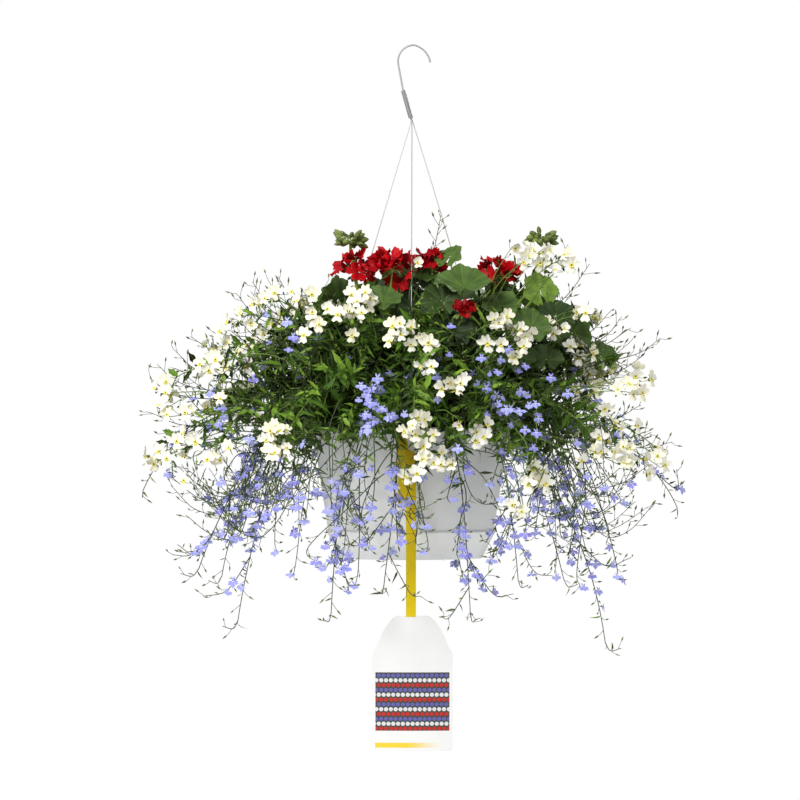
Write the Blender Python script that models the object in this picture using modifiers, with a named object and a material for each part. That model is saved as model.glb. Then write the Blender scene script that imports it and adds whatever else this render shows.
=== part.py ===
"""Flower hanging basket: a white pot on a three-wire hanger, planted with geranium, nemesia and lobelia.

Metres, +Z up, +Y away from the front. The origin is the inside top of the hook, where the basket hangs.
Plants are placed from the centre of the pot's rim: x to the right, y to the back, z up.
"""

import math
import random

import bmesh
import bpy
from mathutils import Matrix, Vector
from mathutils.bvhtree import BVHTree

SEED = 12
GAP = 0.0003
CLEARANCE = 0.0008
UP = Vector((0, 0, 1))
GOLDEN_ANGLE = math.radians(137.5)

# Hook and the sleeve that joins it to the wires
HOOK_WIRE = 0.0028
HOOK_BEND = 0.0240
HOOK_START_DEG = 190
HOOK_END_DEG = -4
HOOK_SIDES = 2
SLEEVE_TOP = Vector((-0.0165, 0, -0.066))
SLEEVE_END = Vector((-0.0045, 0, -0.109))
SLEEVE_RADIUS = 0.0036
WIRE = 0.0016
WIRE_RING = 0.0014
WIRE_IN_SLEEVE = 0.012
WIRE_AZIMUTHS = (-90, 30, 150)
WIRE_BOW = (0.004, 0.005, 0.002)

# Pot: heights from the origin, radii from the pot's axis
POT_X = -0.0045
RIM_Z = -0.571
RIM_RADIUS = 0.156
RIM_THICKNESS = 0.0024
RIM_SKIRT = 0.009
RIM_SKIRT_THICKNESS = 0.0018
WALL = 0.0020
WALL_TOP_RADIUS = 0.148
SEAM_Z = -0.725
SEAM_RADIUS = 0.1244
POT_BASE_Z = -0.757
POT_BASE_RADIUS = 0.1086
WIRE_HOLE_RADIUS = 0.1512
WIRE_HOLE = 0.0032
DRAIN_HOLE = 0.010
DRAIN_RING = 0.070
DRAIN_HOLES = 4
TURN_STEPS = 32
HOLE_TURN_DEG = 11

# Saucer, snapped on the pot's lower cone
SAUCER_RADIUS = 0.1268
SAUCER_BASE_RADIUS = 0.1065
SAUCER_BASE_Z = -0.768
SAUCER_WALL = 0.0018

# Potting mix
MIX_Z = -0.583
STEM_DEPTH = 0.010

# Plant tag: a yellow strap over the rim and a white sheet under it, across x from the pot's axis
TAG_Y = -0.1589
TAG_THICKNESS = 0.0008
STRAP_LEFT = -0.0195
STRAP_FOLD_RIGHT = -0.0050
STRAP_RIGHT = 0.0070
STRAP_NECK_LEFT = -0.0078
STRAP_FOLD_Y = -0.1412
STRAP_FOLD_DROP = 0.008
STRAP_HEAD_TOP_Z = -0.603
STRAP_HEAD_END_Z = -0.690
STRAP_BARB = 0.004
TAG_CENTRE = 0.0020
TAG_TOP_Z = -0.848
TAG_HALF_WIDTH = 0.059
TAG_END_Z = -1.047
# The white sheet's half-width at heights from its top to its lower end
TAG_OUTLINE = (
    (0.0240, TAG_TOP_Z),
    (0.0270, -0.8505),
    (0.0335, -0.8560),
    (0.0400, -0.8660),
    (0.0465, -0.8780),
    (0.0530, -0.8940),
    (0.0575, -0.9005),
    (TAG_HALF_WIDTH, -0.9050),
    (TAG_HALF_WIDTH, TAG_END_Z + 0.0035),
    (0.0555, TAG_END_Z),
)

# Geranium: stems, round scalloped leaves, red heads and green buds
GERANIUM_RING = 0.040
GERANIUM_STEM = 0.0032
PETIOLE = 0.0014
GERANIUM_LOBES = 7
GERANIUM_LEAF_CUP = 0.16
LEAF_THICKNESS = 0.0009
HEAD_CORE = 0.010
FLORETS = 6
FLORET_RADIUS = 0.018
FLORET_REACH = 0.017
FLORET_OUTLINE = (1.0, 0.55) * 5
STALK_RADIUS = 0.00055
THROAT_SHARE = 0.85
NECK_SHARE = 0.45
BUDS = 5
BUD_LENGTH = 0.013
# Each stem: root azimuth, fork, leaves as (x, y, z, radius), heads, bud heads
GERANIUM_STEMS = (
    (
        215,
        (-0.040, -0.050, 0.110),
        ((-0.024, -0.130, 0.186, 0.034), (0.006, -0.110, 0.222, 0.030), (-0.070, -0.095, 0.180, 0.030)),
        ((-0.088, -0.060, 0.240), (-0.028, -0.075, 0.246)),
        ((-0.091, -0.015, 0.278),),
    ),
    (
        300,
        (0.040, -0.050, 0.100),
        ((0.081, -0.115, 0.216, 0.048), (0.030, -0.150, 0.183, 0.033), (0.058, -0.040, 0.250, 0.036)),
        ((0.076, -0.150, 0.168), (0.030, -0.020, 0.248)),
        (),
    ),
    (
        345,
        (0.095, -0.030, 0.090),
        (
            (0.133, -0.110, 0.180, 0.036),
            (0.178, -0.115, 0.148, 0.036),
            (0.186, -0.050, 0.203, 0.034),
            (0.216, -0.075, 0.165, 0.034),
        ),
        ((0.128, -0.045, 0.236),),
        ((0.195, -0.010, 0.279),),
    ),
    (
        40,
        (0.110, 0.040, 0.080),
        (
            (0.240, -0.010, 0.140, 0.037),
            (0.283, -0.020, 0.105, 0.030),
            (0.185, 0.070, 0.175, 0.038),
        ),
        (),
        (),
    ),
    (
        110,
        (-0.030, 0.060, 0.110),
        (
            (0.020, 0.135, 0.205, 0.042),
            (0.095, 0.105, 0.200, 0.038),
            (-0.060, 0.130, 0.185, 0.038),
            (-0.110, 0.055, 0.190, 0.034),
        ),
        ((-0.012, 0.070, 0.243),),
        (),
    ),
)

# Nemesia: arching stems with toothed leaves and heads of flowers
NEMESIA_RING = 0.086
NEMESIA_STEM = 0.0013
NEMESIA_FLOWER = 0.0135
NEMESIA_DEPTH = 0.011
NEMESIA_OUTLINE = (0.90, 0.95, 0.40, 1.0, 0.45, 0.95, 0.45, 1.0, 0.40, 0.95)
NEMESIA_LEAF = 0.034
NEMESIA_LEAF_WIDTHS = (0.0006, 0.0045, 0.0022, 0.0006)
NEMESIA_LEAF_ARCH = 0.003
NEMESIA_LEAVES = 2
HEAD_LENGTH = 0.030
# Each spray's heads, from its first to its last: x, y, z and how many flowers
NEMESIA_SPRAYS = (
    ((0.193, -0.050, 0.252, 6), (0.225, -0.020, 0.238, 2)),
    ((-0.166, -0.110, 0.190, 3), (-0.217, -0.090, 0.181, 2), (-0.256, -0.120, 0.153, 2)),
    ((-0.301, -0.140, 0.085, 3), (-0.369, -0.060, 0.052, 3)),
    ((-0.331, -0.150, -0.031, 4), (-0.372, -0.110, -0.046, 2), (-0.289, -0.190, -0.048, 2)),
    ((-0.076, -0.200, 0.175, 3), (-0.136, -0.190, 0.153, 3)),
    ((-0.016, -0.235, 0.142, 2), (0.025, -0.255, 0.123, 2), (0.024, -0.285, 0.085, 2)),
    ((0.003, -0.290, -0.005, 3), (0.028, -0.280, -0.052, 4), (0.066, -0.255, 0.063, 2)),
    ((0.132, -0.180, 0.154, 2), (0.163, -0.165, 0.138, 2), (0.123, -0.230, 0.118, 2)),
    ((-0.192, -0.240, -0.008, 2), (-0.186, -0.250, -0.036, 2)),
    ((0.099, -0.285, -0.017, 3), (0.181, -0.240, -0.085, 3)),
    ((0.283, -0.180, -0.037, 4), (0.331, -0.120, -0.050, 2), (0.366, -0.060, -0.042, 3)),
    ((0.339, -0.060, 0.064, 3), (0.268, 0.060, 0.160, 3)),
    ((-0.300, 0.070, 0.110, 3), (-0.250, 0.250, 0.010, 4)),
    ((-0.120, 0.250, 0.130, 3), (-0.030, 0.370, -0.010, 4)),
    ((0.190, 0.240, 0.130, 4), (0.270, 0.270, -0.030, 3)),
)
# The tip of the spent stem and its pods
BARE_SPRAY = (0.045, 0.010, 0.318)
PODS = 5

# Lobelia: thin trailing stems with narrow leaves and small flowers
LOBELIA_RING = 0.122
LOBELIA_STEM = 0.0012
LOBELIA_FLOWER = 0.0088
LOBELIA_DEPTH = 0.009
LOBELIA_OUTLINE = (1.05, 0.42, 1.0, 0.38, 1.0, 0.42)
LOBELIA_LEAF = 0.026
LOBELIA_LEAF_RADIUS = 0.00075
LOBELIA_FLOWERS = 5
LOBELIA_LEAVES = 4
# Each trailing stem's end: x, y, z
LOBELIA_ENDS = (
    (-0.256, -0.120, -0.286),
    (-0.316, -0.060, -0.211),
    (-0.117, -0.220, -0.271),
    (0.086, -0.230, -0.271),
    (0.288, -0.090, -0.320),
    (0.223, -0.190, -0.222),
    (0.397, -0.040, -0.120),
    (-0.400, -0.040, -0.095),
    (-0.040, -0.240, -0.230),
    (0.156, -0.210, -0.222),
    (-0.064, -0.345, -0.040),
    (0.141, -0.330, -0.030),
    (-0.290, 0.190, -0.230),
    (-0.110, 0.330, -0.190),
    (0.080, 0.340, -0.230),
    (0.270, 0.230, -0.190),
)

COLOURS = {
    "steel": ((0.55, 0.56, 0.57), 0.35, 1.0),
    "pot": ((0.72, 0.75, 0.78), 0.30, 0.0),
    "mix": ((0.05, 0.035, 0.022), 0.95, 0.0),
    "tag_white": ((0.87, 0.87, 0.86), 0.35, 0.0),
    "strap_yellow": ((0.72, 0.50, 0.01), 0.35, 0.0),
    "geranium_leaf": ((0.09, 0.17, 0.06), 0.60, 0.0),
    "geranium_red": ((0.62, 0.01, 0.03), 0.50, 0.0),
    "foliage": ((0.12, 0.22, 0.04), 0.55, 0.0),
    "nemesia_white": ((0.88, 0.85, 0.70), 0.50, 0.0),
    "lobelia_blue": ((0.32, 0.36, 0.80), 0.50, 0.0),
}


def clear_scene():
    for item in list(bpy.data.objects):
        bpy.data.objects.remove(item, do_unlink=True)


def make_collection(name):
    collection = bpy.data.collections.new(name)
    bpy.context.scene.collection.children.link(collection)
    return collection


def material(name, colour):
    """A Principled material of one of the part's colours."""
    tint, roughness, metallic = COLOURS[colour]
    made = bpy.data.materials.new(name)
    made.use_nodes = True
    shader = made.node_tree.nodes["Principled BSDF"]
    shader.inputs["Base Color"].default_value = (*tint, 1)
    shader.inputs["Roughness"].default_value = roughness
    shader.inputs["Metallic"].default_value = metallic
    return made


def rim_point(x, y, z):
    """A place given from the centre of the pot's rim."""
    return Vector((POT_X + x, y, RIM_Z + z))


def around(radius, degrees, z):
    """A place on a ring about the pot's axis."""
    angle = math.radians(degrees)
    return Vector((POT_X + radius * math.cos(angle), radius * math.sin(angle), z))


def evaluated_mesh(item):
    bpy.context.view_layer.update()
    graph = bpy.context.evaluated_depsgraph_get()
    return bpy.data.meshes.new_from_object(item.evaluated_get(graph))


def as_mesh(item, name):
    """A curve or modified object made a plain mesh in world space, with its loose caps welded."""
    mesh = evaluated_mesh(item)
    mesh.transform(item.matrix_world)
    shape = bmesh.new()
    shape.from_mesh(mesh)
    bmesh.ops.remove_doubles(shape, verts=shape.verts, dist=1e-6)
    shape.to_mesh(mesh)
    shape.free()
    bpy.data.objects.remove(item, do_unlink=True)
    return new_object(name, mesh)


def new_object(name, data, collection=None):
    made = bpy.data.objects.new(name, data)
    (collection or WORK).objects.link(made)
    return made


def object_from(shape, name):
    """An object from a bmesh, which is freed."""
    mesh = bpy.data.meshes.new(name)
    shape.to_mesh(mesh)
    shape.free()
    return new_object(name, mesh)


def turned(name, profile, steps):
    """A profile of (radius, z) points turned about Z."""
    mesh = bpy.data.meshes.new(name)
    points = [(radius, 0, z) for radius, z in profile]
    edges = [(i, i + 1) for i in range(len(points) - 1)]
    if profile[0][0] > 0:
        edges.append((len(points) - 1, 0))
    mesh.from_pydata(points, edges, [])
    made = new_object(name, mesh)
    screw = made.modifiers.new("turn", "SCREW")
    screw.axis = "Z"
    screw.angle = math.tau
    screw.steps = steps
    screw.render_steps = steps
    screw.use_merge_vertices = True
    screw.merge_threshold = 0.0001
    return made


def tube(name, points, radii, sides=0):
    """A wire or stem through the points, with its own radius at each."""
    curve = bpy.data.curves.new(name, "CURVE")
    curve.dimensions = "3D"
    curve.bevel_depth = max(radii)
    curve.bevel_resolution = sides
    curve.use_fill_caps = True
    spline = curve.splines.new("POLY")
    spline.points.add(len(points) - 1)
    for knot, point, radius in zip(spline.points, points, radii):
        knot.co = (*point, 1)
        knot.radius = radius / curve.bevel_depth
    return as_mesh(new_object(name, curve), name)


def taper(start, end, count):
    return [start + (end - start) * i / (count - 1) for i in range(count)]


def bezier(a, b, c, d, count):
    points = []
    for i in range(count):
        t = i / (count - 1)
        s = 1 - t
        points.append(a * s**3 + b * (3 * s * s * t) + c * (3 * s * t * t) + d * t**3)
    return points


def along(points, t):
    """The place and direction at the share t of a row of points."""
    place = min(max(t, 0), 1) * (len(points) - 1)
    i = min(int(place), len(points) - 2)
    step = points[i + 1] - points[i]
    return points[i] + step * (place - i), step.normalized()


def cut(item, cutter):
    """One Boolean cut, applied, with its cutter removed."""
    boolean = item.modifiers.new("cut", "BOOLEAN")
    boolean.operation = "DIFFERENCE"
    boolean.object = cutter
    mesh = evaluated_mesh(item)
    item.modifiers.remove(boolean)
    item.modifiers.clear()
    item.data = mesh
    bpy.data.objects.remove(cutter, do_unlink=True)


def prism(name, centre, radius, depth, sides):
    """An upright prism for a hole, turned a little so that no edge of it lies on an edge of what it cuts."""
    shape = bmesh.new()
    bmesh.ops.create_cone(shape, cap_ends=True, segments=sides, radius1=radius, radius2=radius, depth=depth)
    bmesh.ops.rotate(shape, verts=shape.verts, matrix=Matrix.Rotation(math.radians(HOLE_TURN_DEG), 3, "Z"))
    bmesh.ops.translate(shape, verts=shape.verts, vec=centre)
    return object_from(shape, name)


def largest_body(mesh):
    """Keeps the largest body of a fused mesh, and says whether it is closed."""
    shape = bmesh.new()
    shape.from_mesh(mesh)
    left = set(shape.faces)
    bodies = []
    while left:
        front = [left.pop()]
        body = set(front)
        while front:
            face = front.pop()
            for edge in face.edges:
                for other in edge.link_faces:
                    if other in left:
                        left.remove(other)
                        body.add(other)
                        front.append(other)
        bodies.append(body)
    bodies.sort(key=len)
    for body in bodies[:-1]:
        bmesh.ops.delete(shape, geom=list(body), context="FACES")
    closed = all(edge.is_manifold for edge in shape.edges)
    shape.to_mesh(mesh)
    shape.free()
    return closed


def fuse(base, repeats):
    """One closed body from a stem or core and what is sunk into it."""
    bunch = make_collection(base.name + "_repeats")
    for piece in repeats:
        bunch.objects.link(piece)
    union = base.modifiers.new("union", "BOOLEAN")
    union.operation = "UNION"
    union.operand_type = "COLLECTION"
    union.collection = bunch
    mesh = evaluated_mesh(base)
    if not largest_body(mesh):
        union.solver = "MANIFOLD"
        mesh = evaluated_mesh(base)
        largest_body(mesh)
    base.modifiers.remove(union)
    base.data = mesh
    for piece in list(repeats):
        bpy.data.objects.remove(piece, do_unlink=True)
    bpy.data.collections.remove(bunch)
    return base


class Space:
    """What is already placed, so that no node crosses another."""

    def __init__(self):
        self.pieces = []

    def add(self, owner, item):
        mesh = item.data
        places = [vertex.co.copy() for vertex in mesh.vertices]
        tree = BVHTree.FromPolygons(places, [tuple(face.vertices) for face in mesh.polygons])
        self.pieces.append((owner, *box_of(places), tree))

    def fits(self, owner, places, faces):
        """Whether a solid, grown by the clearance, crosses no other node's solid."""
        low, high = box_of(places)
        tree = None
        for other, other_low, other_high, other_tree in self.pieces:
            if other == owner or not boxes_meet(low, high, other_low, other_high):
                continue
            tree = tree or BVHTree.FromPolygons(places, faces)
            if tree.overlap(other_tree):
                return False
        return True

    def path_fits(self, owner, points, radius):
        """Whether a wire or stem along the points stays clear of the other nodes."""
        reach = radius + CLEARANCE
        samples = []
        for a, b in zip(points, points[1:]):
            count = max(2, int((b - a).length / 0.002))
            samples += [a.lerp(b, i / count) for i in range(count)]
        low, high = box_of(samples)
        margin = Vector((reach, reach, reach))
        for other, other_low, other_high, other_tree in self.pieces:
            if other == owner or not boxes_meet(low - margin, high + margin, other_low, other_high):
                continue
            for sample in samples:
                if other_tree.find_nearest(sample, reach)[0] is not None:
                    return False
        return True


def box_of(places):
    low = Vector([min(place[axis] for place in places) for axis in range(3)])
    high = Vector([max(place[axis] for place in places) for axis in range(3)])
    return low, high


def boxes_meet(low_a, high_a, low_b, high_b):
    return all(low_a[axis] <= high_b[axis] and low_b[axis] <= high_a[axis] for axis in range(3))


class Shape:
    """A leaf, flower or bud shape, rooted at its origin and facing +Z, that is placed many times."""

    def __init__(self, item):
        self.mesh = item.data
        self.faces = [tuple(face.vertices) for face in self.mesh.polygons]
        self.grown = [vertex.co + vertex.normal * CLEARANCE for vertex in self.mesh.vertices]
        bpy.data.objects.remove(item, do_unlink=True)

    def place(self, owner, matrix, space, layered=False):
        """The placed object, or None where it would cross anything but its own node's stems.

        Layered shapes may also cross each other within their node.
        """
        places = [matrix @ place for place in self.grown]
        if not space.fits(owner, places, self.faces):
            return None
        mesh = self.mesh.copy()
        mesh.transform(matrix)
        made = new_object(owner + "_repeat", mesh)
        space.add(owner if layered else owner + "_repeat", made)
        return made


def facing(origin, direction, up, scale=1.0):
    """A matrix that turns +Z along a direction with +Y as near to up as it can be."""
    z = direction.normalized()
    x = up.cross(z)
    if x.length < 1e-3:
        x = Vector((1, 0, 0)).cross(z)
    x.normalize()
    y = z.cross(x)
    turn = Matrix((x, y, z)).transposed().to_4x4()
    return Matrix.Translation(origin) @ turn @ Matrix.Scale(scale, 4)


def leaf_along(origin, direction, normal, scale=1.0):
    """A matrix that lays a blade, long in +Y with its face to +Z, along a direction."""
    y = direction.normalized()
    x = y.cross(normal)
    if x.length < 1e-3:
        x = y.cross(Vector((1, 0, 0)))
    x.normalize()
    z = x.cross(y)
    turn = Matrix((x, y, z)).transposed().to_4x4()
    return Matrix.Translation(origin) @ turn @ Matrix.Scale(scale, 4)


def set_slot(item, slot):
    for face in item.data.polygons:
        face.material_index = slot


def flower_shape(name, radius, depth, outline, slot):
    """A flower as one solid: a rim cut into petals, a throat in its middle, and a three-sided stalk below."""
    shape = bmesh.new()
    count = len(outline)
    rim = []
    for i, size in enumerate(outline):
        angle = math.tau * i / count
        reach = radius * size
        rim.append(shape.verts.new((reach * math.sin(angle), -reach * math.cos(angle), depth)))
    middle = shape.verts.new((0, 0, depth * THROAT_SHARE))
    root = stalk_ring(shape, STALK_RADIUS, 0)
    neck = stalk_ring(shape, STALK_RADIUS * 1.4, depth * NECK_SHARE)
    for i in range(count):
        following = (i + 1) % count
        corner = round(3 * i / count) % 3
        next_corner = round(3 * following / count) % 3
        shape.faces.new((rim[i], rim[following], middle))
        shape.faces.new((rim[i], neck[corner], rim[following]))
        if corner != next_corner:
            shape.faces.new((rim[following], neck[corner], neck[next_corner]))
    for i in range(3):
        shape.faces.new((neck[i], root[i], root[(i + 1) % 3], neck[(i + 1) % 3]))
    shape.faces.new(root[::-1])
    bmesh.ops.recalc_face_normals(shape, faces=shape.faces)
    item = object_from(shape, name)
    set_slot(item, slot)
    return Shape(item)


def stalk_ring(shape, radius, z):
    angles = [math.tau * i / 3 for i in range(3)]
    return [shape.verts.new((radius * math.sin(angle), -radius * math.cos(angle), z)) for angle in angles]


def blade_shape(name, length, widths, arch):
    """A thin leaf of the given half-widths from root to tip, arched along its length."""
    shape = bmesh.new()
    rows = len(widths)
    bmesh.ops.create_grid(shape, x_segments=1, y_segments=rows - 1, size=0.5)
    for vertex in shape.verts:
        row = round((vertex.co.y + 0.5) * (rows - 1))
        share = row / (rows - 1)
        vertex.co.x = math.copysign(widths[row], vertex.co.x)
        vertex.co.y = length * share
        vertex.co.z = arch * math.sin(math.pi * share)
    return Shape(solidified(object_from(shape, name), name))


def solidified(item, name):
    solidify = item.modifiers.new("thickness", "SOLIDIFY")
    solidify.thickness = LEAF_THICKNESS
    solidify.offset = 0
    return as_mesh(item, name)


def geranium_leaf_shape(name, cup):
    """A round leaf of radius 1 cut into scalloped lobes, with the notch where its stalk meets it."""
    segments = 2 * GERANIUM_LOBES
    shape = bmesh.new()
    bmesh.ops.create_circle(shape, cap_ends=True, cap_tris=True, segments=segments, radius=1)
    for vertex in shape.verts:
        if vertex.co.length < 0.5:
            continue
        angle = math.atan2(vertex.co.x, vertex.co.y)
        index = round(angle / math.tau * segments) % segments
        crest = index % 2 == 0
        size = 1.0 if crest else 0.84
        if index == GERANIUM_LOBES:
            size = 0.30
        vertex.co *= size
        vertex.co.z = cup * (0.8 if crest else 1.1)
    return object_from(shape, name)


def needle_shape(name, length, width):
    """A narrow three-sided leaf that comes to a point."""
    shape = bmesh.new()
    bmesh.ops.create_cone(shape, cap_ends=True, segments=3, radius1=width, radius2=0, depth=length)
    bmesh.ops.translate(shape, verts=shape.verts, vec=(0, 0, length / 2))
    return Shape(object_from(shape, name))


def bud_shape(name, length):
    shape = bmesh.new()
    bmesh.ops.create_uvsphere(shape, u_segments=4, v_segments=2, radius=1)
    bmesh.ops.scale(shape, verts=shape.verts, vec=(length * 0.24, length * 0.24, length * 0.5))
    bmesh.ops.translate(shape, verts=shape.verts, vec=(0, 0, length * 0.46))
    return Shape(object_from(shape, name))


def hook_points():
    centre = Vector((0, 0, HOOK_WIRE / 2 - HOOK_BEND))
    count = 13
    points = []
    for i in range(count):
        angle = math.radians(HOOK_END_DEG + (HOOK_START_DEG - HOOK_END_DEG) * i / (count - 1))
        points.append(centre + HOOK_BEND * Vector((math.cos(angle), 0, math.sin(angle))))
    shank_end = SLEEVE_TOP.lerp(SLEEVE_END, 0.62)
    return points + [SLEEVE_TOP.copy(), shank_end]


def make_hook():
    points = hook_points()
    return tube("hook", points, [HOOK_WIRE / 2] * len(points), HOOK_SIDES)


def make_sleeve():
    """The wound collar: a narrow bore for the hook above, a wide one for the wires below."""
    length = (SLEEVE_END - SLEEVE_TOP).length
    hook_bore = HOOK_WIRE / 2 + GAP
    wire_bore = WIRE_RING + WIRE / 2 + 2 * GAP
    step = length * 0.34
    bevel = 0.0008
    profile = (
        (hook_bore, length),
        (SLEEVE_RADIUS - bevel, length),
        (SLEEVE_RADIUS, length - bevel),
        (SLEEVE_RADIUS, bevel),
        (SLEEVE_RADIUS - bevel, 0),
        (wire_bore, 0),
        (wire_bore, step),
        (hook_bore, step + bevel),
    )
    sleeve = turned("sleeve", profile, 10)
    sleeve.matrix_world = facing(SLEEVE_END, SLEEVE_TOP - SLEEVE_END, Vector((0, 1, 0)))
    return as_mesh(sleeve, "sleeve")


def wire_points(azimuth, bow):
    """From inside the sleeve straight down to the rim, through its hole and up again as a small hook."""
    axis = (SLEEVE_END - SLEEVE_TOP).normalized()
    out = Vector((math.cos(math.radians(azimuth)), math.sin(math.radians(azimuth)), 0))
    side = (out - axis * out.dot(axis)).normalized()
    top = SLEEVE_END - axis * WIRE_IN_SLEEVE + side * WIRE_RING
    mouth = SLEEVE_END + side * WIRE_RING
    hole = around(WIRE_HOLE_RADIUS, azimuth, RIM_Z)
    turn = (RIM_RADIUS - WIRE_HOLE_RADIUS + WIRE / 2 + 0.001) / 2
    low = RIM_Z - RIM_SKIRT - 0.002
    points = [top, mouth, mouth + axis * 0.003]
    start = mouth + axis * 0.005
    end = hole + UP * 0.008
    for share in (0.05, 0.5, 0.97):
        points.append(start.lerp(end, share) + out * bow * math.sin(math.pi * share))
    points += [hole + UP * 0.003, hole + UP * (low - RIM_Z)]
    for degrees in (45, 90, 135):
        angle = math.radians(degrees)
        points.append(hole + out * turn * (1 - math.cos(angle)) + UP * (low - RIM_Z - turn * math.sin(angle)))
    points += [hole + out * 2 * turn + UP * (low - RIM_Z), hole + out * 2 * turn + UP * (0.004 - RIM_SKIRT)]
    return points


def make_wire(name, azimuth, bow):
    points = wire_points(azimuth, bow)
    return tube(name, points, [WIRE / 2] * len(points))


def saucer_inner(z):
    """The saucer's inner radius at a height."""
    share = (z - SAUCER_BASE_Z) / (SEAM_Z - SAUCER_BASE_Z)
    return SAUCER_BASE_RADIUS + (SAUCER_RADIUS - SAUCER_BASE_RADIUS) * share - SAUCER_WALL * 1.1


def make_pot():
    floor = POT_BASE_Z + WALL
    skirt_inner = RIM_RADIUS - RIM_SKIRT_THICKNESS
    under_rim = RIM_Z - RIM_THICKNESS
    profile = (
        (0, floor),
        (POT_BASE_RADIUS - WALL, floor),
        (SEAM_RADIUS - WALL, SEAM_Z),
        (WALL_TOP_RADIUS - WALL, RIM_Z),
        (RIM_RADIUS - 0.001, RIM_Z),
        (RIM_RADIUS, RIM_Z - 0.001),
        (RIM_RADIUS, RIM_Z - RIM_SKIRT),
        (skirt_inner, RIM_Z - RIM_SKIRT),
        (skirt_inner, under_rim),
        (WALL_TOP_RADIUS, under_rim),
        (SEAM_RADIUS, SEAM_Z),
        (POT_BASE_RADIUS, POT_BASE_Z),
        (0, POT_BASE_Z),
    )
    pot = turned("pot", profile, TURN_STEPS)
    pot.location.x = POT_X
    bpy.context.view_layer.update()
    pot = as_mesh(pot, "pot")
    for azimuth in WIRE_AZIMUTHS:
        centre = around(WIRE_HOLE_RADIUS, azimuth, RIM_Z)
        cut(pot, prism("rim_hole", centre, WIRE_HOLE / 2, 0.006, 6))
    for i in range(DRAIN_HOLES):
        centre = around(DRAIN_RING, 45 + 360 * i / DRAIN_HOLES, POT_BASE_Z)
        cut(pot, prism("drain_hole", centre, DRAIN_HOLE / 2, 0.008, 6))
    return pot


def make_saucer():
    floor = SAUCER_BASE_Z + SAUCER_WALL
    profile = (
        (0, floor),
        (saucer_inner(floor), floor),
        (saucer_inner(SEAM_Z), SEAM_Z),
        (SAUCER_RADIUS, SEAM_Z),
        (SAUCER_BASE_RADIUS, SAUCER_BASE_Z),
        (0, SAUCER_BASE_Z),
    )
    saucer = turned("saucer", profile, TURN_STEPS)
    saucer.location.x = POT_X
    bpy.context.view_layer.update()
    return as_mesh(saucer, "saucer")


def make_mix(roots):
    """The potting mix, with a plain hole for each stem."""
    floor = POT_BASE_Z + WALL + GAP
    share = (MIX_Z - SEAM_Z) / (RIM_Z - SEAM_Z)
    top_radius = SEAM_RADIUS + (WALL_TOP_RADIUS - SEAM_RADIUS) * share - WALL - 2 * GAP
    profile = (
        (0, MIX_Z),
        (top_radius, MIX_Z),
        (SEAM_RADIUS - WALL - 2 * GAP, SEAM_Z),
        (POT_BASE_RADIUS - WALL - 2 * GAP, floor),
        (0, floor),
    )
    mix = turned("potting_mix", profile, TURN_STEPS)
    mix.location.x = POT_X
    bpy.context.view_layer.update()
    mix = as_mesh(mix, "potting_mix")
    for place, radius in roots:
        centre = Vector((place.x, place.y, MIX_Z))
        depth = 2 * (STEM_DEPTH + GAP)
        cut(mix, prism("stem_hole", centre, (radius + 2 * GAP) * math.sqrt(2), depth, 4))
    return mix


def tag_outline():
    """The front sheet, clockwise from the fold's right end: strap, white sheet, neck and barbs."""
    fold = [(STRAP_FOLD_RIGHT, RIM_Z), (STRAP_FOLD_RIGHT, STRAP_HEAD_TOP_Z)]
    strap = fold + [(STRAP_RIGHT, STRAP_HEAD_TOP_Z - 0.006), (STRAP_RIGHT, TAG_TOP_Z)]
    right = [(TAG_CENTRE + x, z) for x, z in TAG_OUTLINE]
    left = [(TAG_CENTRE - x, z) for x, z in reversed(TAG_OUTLINE)]
    neck = [(STRAP_NECK_LEFT, TAG_TOP_Z), (STRAP_NECK_LEFT, STRAP_HEAD_END_Z), (STRAP_LEFT, STRAP_HEAD_END_Z)]
    barbs = []
    for z in (STRAP_HEAD_END_Z + 0.030, STRAP_HEAD_END_Z + 0.058):
        barbs += [(STRAP_LEFT, z - 0.004), (STRAP_LEFT + STRAP_BARB, z), (STRAP_LEFT, z + 0.001)]
    return strap + right + left + neck + barbs + [(STRAP_LEFT, RIM_Z)]


def make_tag():
    """The strap folded over the rim, with its tag, as one thin sheet."""
    shape = bmesh.new()
    front = [shape.verts.new((x, TAG_Y, z)) for x, z in tag_outline()]
    shape.faces.new(front)
    top_z = RIM_Z + TAG_THICKNESS / 2 + GAP
    right = front[0]
    left = front[-1]
    right.co.z = top_z
    left.co.z = top_z
    back = [(x, STRAP_FOLD_Y, z) for z in (top_z, top_z - STRAP_FOLD_DROP) for x in (right.co.x, left.co.x)]
    over_right, over_left, end_right, end_left = [shape.verts.new(place) for place in back]
    shape.faces.new((right, left, over_left, over_right))
    shape.faces.new((over_right, over_left, end_left, end_right))
    bmesh.ops.recalc_face_normals(shape, faces=shape.faces)
    tag = object_from(shape, "plant_tag")
    tag.location.x = POT_X
    solidify = tag.modifiers.new("thickness", "SOLIDIFY")
    solidify.thickness = TAG_THICKNESS
    solidify.offset = 0
    solidify.use_even_offset = True
    bpy.context.view_layer.update()
    tag = as_mesh(tag, "plant_tag")
    for face in tag.data.polygons:
        face.material_index = 1 if face.center.z > TAG_TOP_Z else 0
    return tag


def rooted(place, radius):
    """The first points of a stem, standing in its hole in the mix."""
    ROOTS.append((place, radius))
    return [Vector((place.x, place.y, MIX_Z - STEM_DEPTH)), Vector((place.x, place.y, MIX_Z + 0.004))]


def add_tube(owner, points, start, end, space):
    item = tube(owner + "_repeat", points, taper(start, end, len(points)))
    space.add(owner, item)
    return item


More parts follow.
